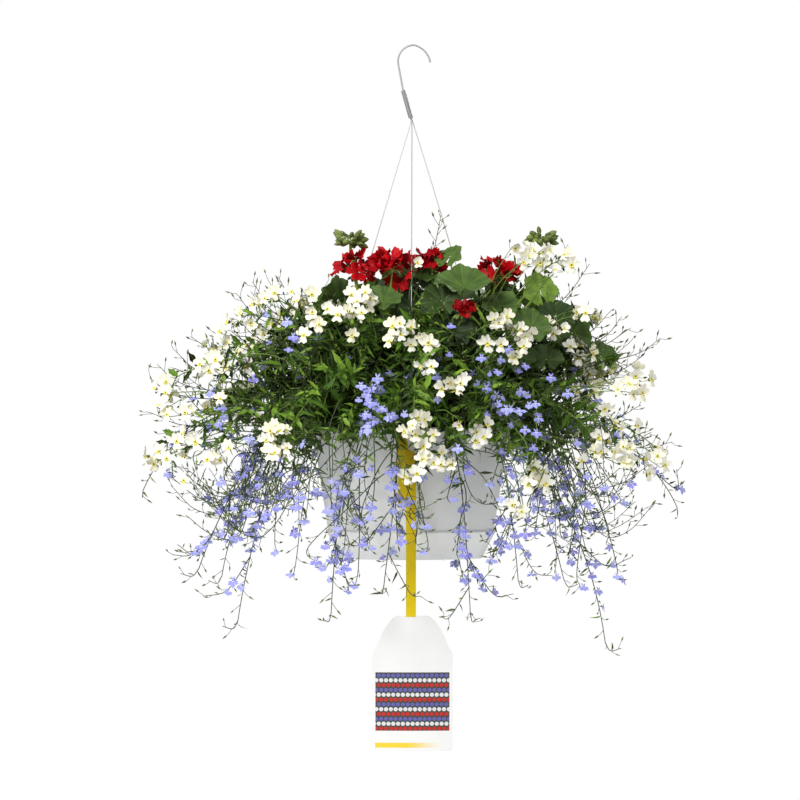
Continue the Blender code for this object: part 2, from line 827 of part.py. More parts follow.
def find_path(owner, make, radius, space, rng, tries=60):
    """The first of a stem's possible routes that is clear, each with a little more sway."""
    points = make(Vector((0, 0, 0)))
    for attempt in range(tries):
        if space.path_fits(owner, points, radius):
            return points
        reach = 0.006 + 0.0012 * attempt
        points = make(Vector([rng.uniform(-reach, reach) for _ in range(3)]))
    print("stem without a clear route:", owner)
    return points


def make_head(name, place, direction, shapes, space):
    """A red head: a small core with florets standing out of it on all sides but its stalk's."""
    shape = bmesh.new()
    bmesh.ops.create_uvsphere(shape, u_segments=5, v_segments=3, radius=HEAD_CORE)
    bmesh.ops.transform(shape, matrix=facing(place, direction, UP.orthogonal()), verts=shape.verts)
    core = object_from(shape, name)
    space.add(name, core)
    florets = []
    for i in range(FLORETS):
        height = 1 - 1.35 * (i + 0.5) / FLORETS
        angle = GOLDEN_ANGLE * i
        ring = math.sqrt(1 - height * height)
        out = Vector((ring * math.cos(angle), ring * math.sin(angle), height))
        out.rotate(UP.rotation_difference(direction))
        matrix = facing(place + out * HEAD_CORE * 0.6, out, UP)
        floret = shapes["floret"].place(name, matrix, space, layered=True)
        if floret:
            florets.append(floret)
    return fuse(core, florets)


def stalk_end(place, direction):
    """Where a stalk ends just under a head's core."""
    return place - direction * (HEAD_CORE + GAP)


def make_geranium(index, plan, shapes, space, rng):
    """One leafy stem with its stalks and leaves, and its red heads as their own nodes."""
    azimuth, fork_place, leaves, heads, bud_heads = plan
    owner = f"geranium_stem_{index}"
    root = around(GERANIUM_RING, azimuth, MIX_Z)
    start = rooted(root, GERANIUM_STEM)
    fork = rim_point(*fork_place)
    lift = UP * (fork.z - MIX_Z) * 0.5
    trunk = start + bezier(start[1], start[1] + lift * 0.7, fork - lift * 0.6, fork, 4)[1:]
    base = add_tube(owner, trunk, GERANIUM_STEM, GERANIUM_STEM * 0.8, space)
    repeats = []
    nodes = []
    for number, place in enumerate(heads):
        centre = rim_point(*place)
        direction = ((centre - fork).normalized() + UP).normalized()
        end = stalk_end(centre, direction)
        stalk = bezier(fork, fork.lerp(end, 0.3) + UP * 0.01, end - direction * 0.03, end, 4)
        name = f"geranium_head_{index}_{number + 1}"
        nodes.append((name, make_head(name, centre, direction, shapes, space)))
        repeats.append(add_tube(owner, stalk, PETIOLE * 1.2, PETIOLE, space))
    for place in bud_heads:
        centre = rim_point(*place)
        stalk = bezier(fork, fork.lerp(centre, 0.4), centre - UP * 0.04, centre, 4)
        repeats.append(add_tube(owner, stalk, PETIOLE * 1.2, PETIOLE, space))
        for i in range(BUDS):
            angle = GOLDEN_ANGLE * i
            out = Vector((math.cos(angle), math.sin(angle), 0.8 - 0.35 * i))
            bud = shapes["bud"].place(owner, facing(centre - UP * 0.001, out, UP), space, layered=True)
            if bud:
                repeats.append(bud)
    for number, place in enumerate(leaves):
        start_share = 0.45 + 0.5 * number / len(leaves)
        repeats += geranium_leaf(owner, along(trunk, start_share)[0], place, shapes, space, rng)
    nodes.append((owner, fuse(base, repeats)))
    return nodes


def geranium_leaf(owner, start, place, shapes, space, rng):
    """A stalk from the stem and the blade on its end, turned until it is clear."""
    centre = rim_point(*place[:3])
    radius = place[3]
    away = Vector((centre.x - POT_X, centre.y, 0)).normalized()
    for attempt in range(40):
        reach = 0.0008 * attempt
        shift = Vector([rng.uniform(-reach, reach) for _ in range(3)])
        target = centre + shift
        tilt = rng.uniform(0.55, 0.95) if attempt else 0.75
        normal = (UP * (1.1 - tilt) + away * tilt + shift * 20).normalized()
        stalk = bezier(start, start.lerp(target, 0.35) + UP * 0.02, target - normal * 0.03, target, 3)
        if not space.path_fits(owner, stalk, PETIOLE):
            continue
        matrix = leaf_along(target, UP - normal * UP.dot(normal), normal, radius)
        blade = shapes["geranium_leaf"].place(owner, matrix, space)
        if blade:
            return [blade, add_tube(owner, stalk, PETIOLE, PETIOLE * 0.8, space)]
    print("leaf left out:", owner, place)
    return []


def arching(root, tip, rise, lift, count):
    """Makes the route of a stem that rises from the mix and arches out to its tip."""
    start = Vector((root.x, root.y, MIX_Z + 0.004))
    out = Vector((tip.x - start.x, tip.y - start.y, 0))

    def route(sway):
        middle = start + UP * rise + out * 0.12 + sway
        return bezier(start, middle, tip - out * 0.22 + UP * lift + sway, tip, count)

    return route


def make_nemesia_stems(index, heads, space, rng):
    """The stem and branches of one spray, up to each of its heads."""
    owner = f"nemesia_spray_{index}"
    first = rim_point(*heads[0][:3])
    azimuth = math.degrees(math.atan2(first.y, first.x - POT_X))
    root = free_root(NEMESIA_RING, azimuth)
    start = rooted(root, NEMESIA_STEM)
    rise = max(0.10, (first.z - MIX_Z) * 0.55)
    lift = 0.03 if heads[0][2] > 0.1 else 0.09
    main = find_path(owner, arching(root, first, rise, lift, 5), NEMESIA_STEM, space, rng)
    stems = [start[:1] + main]
    for place in heads[1:]:
        tip = rim_point(*place[:3])
        fork, _ = along(main, 0.55)

        def branch(sway):
            return bezier(fork, fork + (tip - fork) * 0.4 + UP * 0.02, tip + UP * 0.03 + sway, tip, 3)

        stems.append(find_path(owner, branch, NEMESIA_STEM, space, rng))
    tubes = []
    for number, points in enumerate(stems):
        thick = NEMESIA_STEM if number == 0 else NEMESIA_STEM * 0.9
        tubes.append(add_tube(owner, points, thick, NEMESIA_STEM * 0.85, space))
    return owner, stems, tubes


def free_root(ring, azimuth):
    """The nearest free place on a ring of roots."""
    for step in range(0, 60, 3):
        for side in (1, -1):
            place = around(ring, azimuth + side * step, MIX_Z)
            if all((place - other).length > 0.014 for other, _ in ROOTS):
                return place
    return around(ring, azimuth, MIX_Z)


def try_places(owner, shape, matrices, space):
    """The first of some placings of a shape that is clear."""
    for matrix in matrices:
        item = shape.place(owner, matrix, space)
        if item:
            return [item]
    return []


def sides_of(stem, place, heading):
    """The four directions square to a stem's own faces, those that look away from the pot first."""
    _, normal, _, _ = stem.find_nearest(place)
    side = (normal - heading * normal.dot(heading)).normalized()
    outward = Vector((place.x - POT_X, place.y, 0)).normalized() + UP * 0.3
    sides = [side.copy() for _ in range(4)]
    for i, turned_side in enumerate(sides):
        turned_side.rotate(Matrix.Rotation(math.pi / 2 * i, 3, heading))
    return sorted(sides, key=lambda direction: -direction.dot(outward))


def tree_of(item):
    places = [vertex.co.copy() for vertex in item.data.vertices]
    return BVHTree.FromPolygons(places, [tuple(face.vertices) for face in item.data.polygons])


def nemesia_flowers(owner, points, stem, count, shapes, space, rng):
    """A head: flowers round the end of a stem, each looking out of it, its lip down."""
    made = []
    length = sum((b - a).length for a, b in zip(points, points[1:]))
    for i in range(count):
        place, heading = along(points, 1 - (0.002 + HEAD_LENGTH * i / count) / length)
        sides = sides_of(stem, place, heading)
        matrices = []
        for attempt in range(16):
            slant = 0.9 if i == 0 else rng.uniform(0.0, 0.6)
            look = sides[(i + attempt) % 4] + heading * slant
            matrices.append(facing(place, look, UP, rng.uniform(0.9, 1.08)))
        made += try_places(owner, shapes["nemesia_flower"], matrices, space)
    return made


def leaves_along(owner, points, stem, shape, spread, slant, space, rng, flat=False):
    """Leaves along a stem, each on another of its sides than the last.

    The spread is how many, and the shares of the stem between which they stand.
    """
    count, first, last = spread
    made = []
    for i in range(count):
        place, heading = along(points, first + (last - first) * (i + rng.uniform(0.2, 0.8)) / count)
        sides = sides_of(stem, place, heading)
        matrices = []
        for attempt in range(12):
            side = sides[(i + attempt) % 4]
            direction = side + heading * (slant + 0.15 * (attempt // 4))
            scale = rng.uniform(0.85, 1.15)
            if flat:
                matrices.append(leaf_along(place, direction, heading, scale))
            else:
                matrices.append(facing(place, direction, heading, scale))
        made += try_places(owner, shape, matrices, space)
    return made


def finish_nemesia(owner, stems, tubes, heads, shapes, space, rng):
    repeats = tubes[1:]
    trees = [tree_of(item) for item in tubes]
    for points, tree, head in zip(stems, trees, heads):
        repeats += nemesia_flowers(owner, points, tree, head[3], shapes, space, rng)
    leaf = shapes["nemesia_leaf"]
    spread = (NEMESIA_LEAVES, 0.32, 0.85)
    repeats += leaves_along(owner, stems[0], trees[0], leaf, spread, 0.5, space, rng, flat=True)
    return fuse(tubes[0], repeats)


def make_lobelia_stem(index, end, space, rng):
    owner = f"lobelia_spray_{index}"
    tip = rim_point(*end)
    azimuth = math.degrees(math.atan2(tip.y, tip.x - POT_X))
    root = free_root(LOBELIA_RING, azimuth)
    start = rooted(root, LOBELIA_STEM)
    drop = RIM_Z - tip.z
    rise = rng.uniform(0.06, 0.10)
    lift = 0.10 + 0.35 * max(drop, 0)
    main = find_path(owner, arching(root, tip, rise, lift, 7), LOBELIA_STEM, space, rng)
    points = start[:1] + main
    return owner, points, add_tube(owner, points, LOBELIA_STEM, LOBELIA_STEM * 0.85, space)


def finish_lobelia(owner, points, stem, shapes, space, rng):
    repeats = []
    tree = tree_of(stem)
    for i in range(LOBELIA_FLOWERS):
        place, heading = along(points, 0.45 + 0.48 * (i + rng.uniform(0.1, 0.9)) / LOBELIA_FLOWERS)
        sides = sides_of(tree, place, heading)
        matrices = []
        for attempt in range(16):
            look = sides[(i % 3 + attempt) % 4] + heading * rng.uniform(0.0, 0.5)
            matrices.append(facing(place, look, UP, rng.uniform(0.9, 1.1)))
        repeats += try_places(owner, shapes["lobelia_flower"], matrices, space)
    leaf = shapes["lobelia_leaf"]
    spread = (LOBELIA_LEAVES, 0.3, 0.98)
    repeats += leaves_along(owner, points, tree, leaf, spread, 0.8, space, rng)
    return fuse(stem, repeats)


def make_bare_spray(space, rng):
    """The thin spent stem that stands highest, which bears a few pods."""
    owner = f"nemesia_spray_{len(NEMESIA_SPRAYS) + 1}"
    tip = rim_point(*BARE_SPRAY)
    root = free_root(GERANIUM_RING * 0.3, 60)
    start = rooted(root, NEMESIA_STEM)
    points = find_path(owner, arching(root, tip, 0.2, -0.05, 5), NEMESIA_STEM, space, rng)
    stem = add_tube(owner, start[:1] + points, NEMESIA_STEM, NEMESIA_STEM * 0.6, space)
    return owner, points, stem


def make_shapes():
    leaf = geranium_leaf_shape("geranium_leaf", GERANIUM_LEAF_CUP)
    return {
        "floret": flower_shape("floret", FLORET_RADIUS, FLORET_REACH, FLORET_OUTLINE, 0),
        "bud": bud_shape("bud", BUD_LENGTH),
        "geranium_leaf": solidified_unit(leaf, "geranium_leaf"),
        "nemesia_flower": flower_shape("nemesia_flower", NEMESIA_FLOWER, NEMESIA_DEPTH, NEMESIA_OUTLINE, 1),
        "nemesia_leaf": blade_shape("nemesia_leaf", NEMESIA_LEAF, NEMESIA_LEAF_WIDTHS, NEMESIA_LEAF_ARCH),
        "lobelia_flower": flower_shape("lobelia_flower", LOBELIA_FLOWER, LOBELIA_DEPTH, LOBELIA_OUTLINE, 1),
        "lobelia_leaf": needle_shape("lobelia_leaf", LOBELIA_LEAF, LOBELIA_LEAF_RADIUS),
    }


def solidified_unit(item, name):
    """A leaf of radius 1, as thick as a middling leaf when it is scaled to its size."""
    middling = 0.033
    solidify = item.modifiers.new("thickness", "SOLIDIFY")
    solidify.thickness = LEAF_THICKNESS / middling
    solidify.offset = 0
    made = Shape(as_mesh(item, name))
    places = [vertex.co for vertex in made.mesh.vertices]
    made.grown = [place + (grown - place) / middling for place, grown in zip(places, made.grown)]
    return made


def finish_node(name, item, colours, collection):
    """Names a node, gives it its materials and smooths its round faces."""
    item.name = name
    item.data.name = name
    WORK.objects.unlink(item)
    collection.objects.link(item)
    for colour in colours:
        item.data.materials.append(material(f"{name}_{colour}", colour))
    item.data.shade_smooth()
    item.data.set_sharp_from_angle(angle=math.radians(35))


def build():
    rng = random.Random(SEED)
    parts = make_collection("flower_hanging_basket")
    space = Space()
    made = [("hook", make_hook(), ("steel",)), ("sleeve", make_sleeve(), ("steel",))]
    for azimuth, bow, side in zip(WIRE_AZIMUTHS, WIRE_BOW, ("front", "right", "left")):
        name = f"wire_{side}"
        made.append((name, make_wire(name, azimuth, bow), ("steel",)))
    made.append(("pot", make_pot(), ("pot",)))
    made.append(("saucer", make_saucer(), ("pot",)))
    made.append(("plant_tag", make_tag(), ("tag_white", "strap_yellow")))
    for name, item, _ in made:
        space.add(name, item)
    shapes = make_shapes()
    for index, plan in enumerate(GERANIUM_STEMS, 1):
        for name, item in make_geranium(index, plan, shapes, space, rng):
            colour = "geranium_red" if "head" in name else "geranium_leaf"
            made.append((name, item, (colour,)))
    bare = make_bare_spray(space, rng)
    nemesias = [make_nemesia_stems(i, heads, space, rng) for i, heads in enumerate(NEMESIA_SPRAYS, 1)]
    lobelias = [make_lobelia_stem(i, end, space, rng) for i, end in enumerate(LOBELIA_ENDS, 1)]
    mix = make_mix(ROOTS)
    space.add("potting_mix", mix)
    made.append(("potting_mix", mix, ("mix",)))
    for (owner, stems, tubes), heads in zip(nemesias, NEMESIA_SPRAYS):
        spray = finish_nemesia(owner, stems, tubes, heads, shapes, space, rng)
        made.append((owner, spray, ("foliage", "nemesia_white")))
    for owner, points, stem in lobelias:
        spray = finish_lobelia(owner, points, stem, shapes, space, rng)
        made.append((owner, spray, ("foliage", "lobelia_blue")))
    owner, points, stem = bare
    pods = leaves_along(owner, points, tree_of(stem), shapes["bud"], (PODS, 0.8, 1.0), 0.5, space, rng)
    made.append((owner, fuse(stem, pods), ("foliage",)))
    for name, item, colours in made:
        finish_node(name, item, colours, parts)


clear_scene()
ROOTS = []
WORK = make_collection("work")
build()
bpy.data.collections.remove(WORK)
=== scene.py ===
import math

import bpy
import numpy as np
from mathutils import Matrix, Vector


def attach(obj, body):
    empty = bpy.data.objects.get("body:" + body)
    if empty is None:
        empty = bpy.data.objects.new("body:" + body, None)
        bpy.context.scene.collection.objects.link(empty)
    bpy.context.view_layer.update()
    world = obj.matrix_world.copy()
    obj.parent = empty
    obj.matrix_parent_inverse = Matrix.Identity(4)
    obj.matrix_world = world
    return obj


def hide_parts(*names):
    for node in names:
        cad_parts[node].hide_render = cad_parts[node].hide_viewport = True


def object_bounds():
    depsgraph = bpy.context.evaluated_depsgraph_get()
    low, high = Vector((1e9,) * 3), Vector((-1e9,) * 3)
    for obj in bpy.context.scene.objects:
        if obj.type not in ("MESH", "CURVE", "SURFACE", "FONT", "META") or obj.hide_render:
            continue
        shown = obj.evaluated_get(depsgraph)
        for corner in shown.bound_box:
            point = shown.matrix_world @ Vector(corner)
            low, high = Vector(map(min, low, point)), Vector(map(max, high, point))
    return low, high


# Looks of the flower hanging basket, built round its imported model. Metres, +Z up, +Y away from the front.
# Plants are placed from the centre of the pot's rim: x to the right, y to the back, z up, as in the CAD.

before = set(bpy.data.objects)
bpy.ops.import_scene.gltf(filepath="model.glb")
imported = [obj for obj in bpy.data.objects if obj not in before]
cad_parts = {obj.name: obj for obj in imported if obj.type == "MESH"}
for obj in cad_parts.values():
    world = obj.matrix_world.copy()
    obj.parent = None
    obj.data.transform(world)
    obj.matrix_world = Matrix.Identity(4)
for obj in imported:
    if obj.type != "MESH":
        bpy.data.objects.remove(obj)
cad_low, cad_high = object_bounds()

SEED = 11
UP = np.array((0.0, 0.0, 1.0))
GOLDEN_ANGLE = math.radians(137.5)

# The materials, by name, in the order in which they are made
LOOKS = {}

# Camera and stage
CAMERA_X = -0.021
CAMERA_Z = -0.531
CAMERA_DISTANCE = 8.0
CAMERA_LENS = 240
FLOOR_Z = -1.25
FLOOR_RADIUS = 1.4
FLOOR_SIDES = 96
# How strong the world's white light is on the object, and as the camera sees it
WORLD_LIGHT = 0.45
WORLD_SEEN = 1.0
# Lamps: place and power. All aim at the middle of the object
LAMP_AIM = (0, 0, -0.5)
LAMP_SIZE = 1.6
LAMPS = {
    "key": ((-2.2, -3.0, 1.9), 205),
    "side": ((3.2, -1.6, 0.8), 32),
    "back": ((0.8, 3.4, 1.4), 70),
}

# Hanger
HOOK_WIRE = 0.0028
HOOK_BEND = 0.0240
HOOK_ANGLES = (-4, 190)
# How far the hook's free side runs inside a plain arc, as a share of its radius
HOOK_FLAT = 0.09
SLEEVE_TOP = np.array((-0.0165, 0, -0.066))
SLEEVE_END = np.array((-0.0045, 0, -0.109))
SLEEVE_RADIUS = 0.0036
COIL_WIRE = 0.0008
COIL_PITCH = 1.06
COIL_STEPS = 16
WIRE = 0.0016
WIRE_RING = 0.0014
WIRE_IN_SLEEVE = 0.012
WIRE_AZIMUTHS = (-90, 30, 150)
WIRE_BOWS = (0.004, 0.005, 0.002)
WIRE_TINTS = (0.3, 1.0, 1.0)
WIRE_HOLE_RADIUS = 0.1512

# Pot, saucer and mix
POT_X = -0.0045
RIM_Z = -0.571
RIM_RADIUS = 0.156
RIM_THICKNESS = 0.0024
RIM_SKIRT = 0.009
RIM_SKIRT_THICKNESS = 0.0018
POT_STEPS = 144
POT_ROUNDING = 0.0012
WALL = 0.0020
WALL_TOP_RADIUS = 0.148
SEAM_Z = -0.725
SEAM_RADIUS = 0.1244
SEAM_INSET = 0.0001
SEAM_DROP = 0.0010
POT_BASE_Z = -0.757
POT_BASE_RADIUS = 0.1086
SAUCER_RADIUS = 0.1268
SAUCER_BASE_RADIUS = 0.1065
SAUCER_BASE_Z = -0.768
SAUCER_WALL = 0.0018
SAUCER_ROUNDING = 0.0010
# The lip under the seam: how far it stands out, how far in its top edge and foot lie, and its edges' drops
SAUCER_LIP = 0.0004
SAUCER_LIP_TOP = 0.0011
SAUCER_LIP_FOOT = 0.0006
SAUCER_LIP_DROPS = (0.0022, 0.0032, 0.0038)
# The ring that the saucer stands on: how far in its outer and inner edges lie, and its height
SAUCER_RING = (0.006, 0.008)
SAUCER_RING_HEIGHT = 0.0012
MIX_Z = -0.583
MIX_RADIUS = 0.1425
MIX_GAP = 0.0026
MIX_RINGS = 26
MIX_STEPS = 120
MIX_LUMPS = 46
PERLITE_BITS = 260
STEM_DEPTH = 0.010
STEM_START = 0.004

# Plant tag, across x from the pot's axis
TAG_Y = -0.1589
TAG_THICKNESS = 0.0008
STRAP_LEFT = -0.0195
STRAP_FOLD_RIGHT = -0.0050
STRAP_RIGHT = 0.0070
STRAP_NECK_LEFT = -0.0078
STRAP_FOLD_Y = -0.1412
STRAP_FOLD_DROP = 0.008
STRAP_HEAD_TOP_Z = -0.603
STRAP_HEAD_END_Z = -0.690
STRAP_SLANT = 0.006
STRAP_BARB = 0.004
STRAP_BARBS_Z = (STRAP_HEAD_END_Z + 0.030, STRAP_HEAD_END_Z + 0.058)
STRAP_GAP = 0.0003
TAG_CENTRE = 0.0020
TAG_TOP_Z = -0.848
TAG_HALF_WIDTH = 0.059
TAG_END_Z = -1.047
# What is printed on the tag: the left and right, low and high edges of its picture and bar
PICTURE_X = (-0.055, 0.0545)
PICTURE_Z = (-1.0175, -0.9310)
PICTURE_ROW = 0.0071
BAR_X = (-0.0555, 0.050)
BAR_Z = (-1.0425, -1.0345)
BAR_FADE = (-0.010, 0.048)
PRINT_EDGE = 0.0006
# The white tag's half-width at heights from its lower end to its top
TAG_OUTLINE = (
    (TAG_END_Z, 0.0545),
    (TAG_END_Z + 0.0012, 0.0578),
    (TAG_END_Z + 0.0040, TAG_HALF_WIDTH),
    (-0.9050, TAG_HALF_WIDTH),
    (-0.9005, 0.0575),
    (-0.8940, 0.0530),
    (-0.8780, 0.0465),
    (-0.8715, 0.0435),
    (-0.8660, 0.0400),
    (-0.8560, 0.0335),
    (-0.8505, 0.0270),
    (TAG_TOP_Z, 0.0240),
)

# Geranium: root azimuth, fork, leaves as (x, y, z, radius), heads, bud heads
GERANIUM_RING = 0.040
ROOT_GAP = 0.014
LEAF_LOBES = 7
GERANIUM_STEM = 0.0032
PETIOLE = 0.0014
PETIOLE_END = 0.006
BUDS_IN_HEAD = 38
BUDS_UNDER_BLOOM = 6
GERANIUM_STEMS = (
    (
        215,
        (-0.040, -0.050, 0.110),
        ((-0.042, -0.120, 0.186, 0.030), (0.014, -0.045, 0.222, 0.026), (-0.070, -0.095, 0.180, 0.028)),
        ((-0.088, -0.060, 0.240), (-0.028, -0.075, 0.246)),
        ((-0.091, -0.015, 0.278),),
    ),
    (
        300,
        (0.040, -0.050, 0.100),
        ((0.078, -0.125, 0.207, 0.042), (0.044, -0.130, 0.187, 0.028), (0.058, -0.040, 0.254, 0.022)),
        ((0.076, -0.150, 0.168), (0.030, -0.020, 0.248)),
        (),
    ),
    (
        345,
        (0.095, -0.030, 0.090),
        ((0.133, -0.110, 0.180, 0.029), (0.178, -0.115, 0.148, 0.029))
        + ((0.192, -0.060, 0.203, 0.027), (0.216, -0.075, 0.165, 0.028)),
        ((0.128, -0.045, 0.236),),
        ((0.195, -0.010, 0.279),),
    ),
    (
        40,
        (0.110, 0.040, 0.080),
        ((0.240, -0.040, 0.140, 0.030), (0.283, -0.030, 0.105, 0.024), (0.185, 0.070, 0.175, 0.036)),
        (),
        (),
    ),
    (
        110,
        (-0.030, 0.060, 0.110),
        ((0.020, 0.135, 0.205, 0.042), (0.095, 0.105, 0.200, 0.038))
        + ((-0.060, 0.130, 0.185, 0.038), (-0.110, 0.055, 0.190, 0.034)),
        ((-0.012, 0.070, 0.243),),
        (),
    ),
)
# Leaves that stand lower, between the others, for each stem
LOWER_LEAVES = (
    ((-0.045, -0.120, 0.135, 0.030), (0.000, -0.140, 0.126, 0.026))
    + ((-0.095, -0.060, 0.150, 0.028), (0.002, -0.045, 0.176, 0.034)),
    ((0.060, -0.140, 0.140, 0.032), (0.100, -0.120, 0.130, 0.030))
    + ((0.010, -0.010, 0.215, 0.030), (0.060, -0.060, 0.190, 0.036)),
    ((0.150, -0.130, 0.105, 0.030), (0.120, 0.010, 0.205, 0.034))
    + ((0.200, -0.110, 0.100, 0.026), (0.104, -0.090, 0.160, 0.032)),
    ((0.225, 0.045, 0.130, 0.034), (0.135, 0.090, 0.190, 0.032), (0.245, -0.060, 0.110, 0.026)),
    ((0.055, 0.150, 0.150, 0.032), (-0.020, 0.110, 0.215, 0.030), (-0.100, 0.105, 0.150, 0.032)),
)

# How the leaves in front face, as (x, y, z), and their tint by stem and leaf: a high tint is painted light, a low
# one painted shade
LEAF_TILTS = {
    (1, 0): (-0.10, -0.60, 0.80, 0.50),
    (1, 2): (-0.20, -0.60, 0.75, 0.40),
    (2, 0): (0.04, -0.62, 0.78, 0.66),
    (2, 1): (-0.05, -0.70, 0.70, 0.25),
    (2, 2): (-0.35, -0.50, 0.79, 0.75),
    (3, 0): (0.00, -0.60, 0.80, 0.60),
    (3, 1): (0.15, -0.85, 0.50, 0.50),
    (3, 2): (0.30, -0.80, 0.50, 0.95),
    (3, 3): (0.30, -0.75, 0.60, 0.15),
    (4, 0): (0.20, -0.85, 0.50, 0.55),
    (4, 1): (0.40, -0.80, 0.40, 0.40),
}

# Nemesia leaves, as (length, half-width) and how far each droops, folds and twists
NEMESIA_BLADES = (
    ((0.027, 0.0042), (0.5, 0.35, 0.3)),
    ((0.021, 0.0034), (0.9, 0.5, -0.4)),
    ((0.031, 0.0036), (0.1, 0.25, 0.2)),
    ((0.022, 0.0046), (-0.4, 0.45, -0.2)),
    ((0.029, 0.0026), (1.3, 0.3, 0.5)),
    ((0.018, 0.0030), (0.7, 0.6, 0.9)),
)
# Lobelia leaves are all of one size
LOBELIA_BLADE = (0.019, 0.0019)
LOBELIA_BENDS = ((0.6, 0.4, 0.3), (-0.3, 0.3, -0.3), (1.2, 0.5, 0.1), (0.2, 0.2, 0.5), (1.6, 0.3, 0.9))

# Nemesia: each spray's heads, from its first to its last: x, y, z and how many flowers
NEMESIA_RING = 0.086
NEMESIA_STEM = 0.0013
HEAD_LENGTH = 0.030
NEMESIA_SPRAYS = (
    ((0.193, -0.050, 0.252, 6), (0.225, -0.020, 0.238, 2)),
    ((-0.166, -0.110, 0.190, 3), (-0.217, -0.090, 0.181, 2), (-0.256, -0.120, 0.153, 2)),
    ((-0.301, -0.140, 0.085, 3), (-0.369, -0.060, 0.052, 3)),
    ((-0.331, -0.150, -0.031, 4), (-0.372, -0.110, -0.046, 2), (-0.289, -0.190, -0.048, 2)),
    ((-0.076, -0.200, 0.175, 3), (-0.136, -0.190, 0.153, 3)),
    ((-0.016, -0.235, 0.142, 2), (0.025, -0.255, 0.123, 2), (0.024, -0.285, 0.085, 2)),
    ((0.003, -0.290, -0.005, 3), (0.028, -0.280, -0.052, 4), (0.066, -0.255, 0.063, 2)),
    ((0.132, -0.180, 0.154, 2), (0.163, -0.165, 0.138, 2), (0.123, -0.230, 0.118, 2)),
    ((-0.192, -0.240, -0.008, 2), (-0.186, -0.250, -0.036, 2)),
    ((0.099, -0.285, -0.017, 3), (0.181, -0.240, -0.085, 3)),
    ((0.283, -0.180, -0.037, 4), (0.331, -0.120, -0.050, 2), (0.366, -0.060, -0.042, 3)),
    ((0.339, -0.060, 0.064, 3), (0.268, 0.060, 0.160, 3)),
    ((-0.300, 0.070, 0.110, 3), (-0.250, 0.250, 0.010, 4)),
    ((-0.120, 0.250, 0.130, 3), (-0.030, 0.370, -0.010, 4)),
    ((0.190, 0.240, 0.130, 4), (0.270, 0.270, -0.030, 3)),
)
BARE_NUMBER = 16
BARE_SPRAY = (0.045, 0.010, 0.318)

# Lobelia: each trailing stem's end, and how many millimetres it rises first
LOBELIA_RING = 0.122
LOBELIA_STEM = 0.0013
LOBELIA_FLOWERS = 9
LOBELIA_BRANCHES = 4
LOBELIA_ENDS = (
    (-0.256, -0.120, -0.286),
    (-0.316, -0.060, -0.211),
    (-0.117, -0.220, -0.271),
    (0.086, -0.230, -0.271),
    (0.288, -0.090, -0.320),
    (0.223, -0.190, -0.222),
    (0.397, -0.040, -0.120),
    (-0.400, -0.040, -0.095),
    (-0.040, -0.240, -0.230),
    (0.156, -0.210, -0.222),
    (-0.064, -0.345, -0.040),
    (0.141, -0.330, -0.030),
    (-0.290, 0.190, -0.230),
    (-0.110, 0.330, -0.190),
    (0.080, 0.340, -0.230),
    (0.270, 0.230, -0.190),
)
LOBELIA_RISES = (94, 88, 98, 87, 77, 94, 65, 62, 64, 85, 99, 98, 90, 98, 61, 69)

# Single flowers that stand out on the front, as (x, z) in millimetres from the rim's centre, as the camera sees them
FRONT_WHITE = (
    (-219, 192), (-204, 200), (-256, 170), (-240, 156), (-170, 189), (-147, 172), (-138, 153), (-110, 166),
    (-160, 136), (-286, 142), (-276, 126), (-292, 100), (-303, 84), (-286, 42), (-368, 51), (-378, 30),
    (-339, 21), (-366, 18), (-351, -22), (-322, -22), (-366, -48), (-386, -56), (-378, -39), (-342, -45),
    (-296, -45), (-272, -32), (-339, -81), (-196, -6), (-216, -20), (-186, -32), (-210, -39), (-74, 171),
    (-96, 173), (-89, 197), (-68, 201), (-89, 137), (-32, 128), (-15, 138), (0, 149), (0, 123),
    (29, 123), (23, 90), (47, 56), (68, 56), (79, 71), (11, 14), (7, -12), (33, -12),
    (72, 3), (98, -8), (21, -48), (60, -57), (45, -57), (9, -72), (-10, -78), (10, 246),
    (156, 268), (174, 255), (198, 262), (216, 234), (168, 246), (236, 260), (241, 243),
    (248, 172), (262, 170), (132, 156), (126, 122), (150, 105), (164, 146), (171, 135), (168, 120),
    (156, 104), (336, 76), (326, 62), (345, 50), (310, 56), (290, 28), (314, -2), (339, 2),
    (328, -32), (284, -38), (254, -50), (326, -56), (370, -44), (380, -58), (356, -70), (182, -63),
    (176, -88), (190, -82), (166, -128), (152, -118),
)
FRONT_BLUE = (
    (-217, 169), (-186, 159), (-184, 118), (-177, 136), (-237, 73), (-301, 52), (-290, 30), (-289, 7),
    (-243, -15), (-163, -24), (-75, 63), (-70, 50), (-78, 42), (-62, 56), (-50, 31), (-57, 9),
    (-35, 16), (-50, 74), (-78, -69), (58, 110), (106, 105), (147, 118), (136, 102), (129, 84),
    (171, 93), (210, 75), (165, 54), (174, 48), (187, 36), (235, 51), (150, 28), (162, 25),
    (115, 20), (192, 13), (42, 42), (39, 76), (-43, 28), (-31, 16), (-10, 20), (70, -31),
    (136, -37), (183, -31), (250, -22), (88, -66), (54, -78), (265, -72), (312, -10), (152, -70),
    (-30, -66), (-285, -81), (-229, -85), (-175, -81), (-268, -121), (-243, -127), (-223, -136), (-204, -120),
    (-166, -103), (-141, -97), (-124, -124), (-114, -94), (-219, -130), (-174, -159), (-142, -201), (-181, -219),
    (-205, -187), (-111, -159), (-96, -211), (-57, -180), (-85, -237), (-75, -141), (-15, -169), (24, -148),
    (19, -187), (76, -180), (139, -141), (175, -138), (147, -177), (171, -159), (210, -138), (252, -123),
    (220, -225), (259, -240), (241, -201), (252, -162), (-120, -80), (-100, -96), (-60, -118), (-196, -102),
    (-172, -118), (-160, -140), (-110, -150), (-92, -196), (-128, -178), (200, -110), (216, -122), (268, -116),
    (290, -90), (304, -104), (320, -112), (330, -84), (318, -228), (120, -84), (64, -108), (300, -180),
)
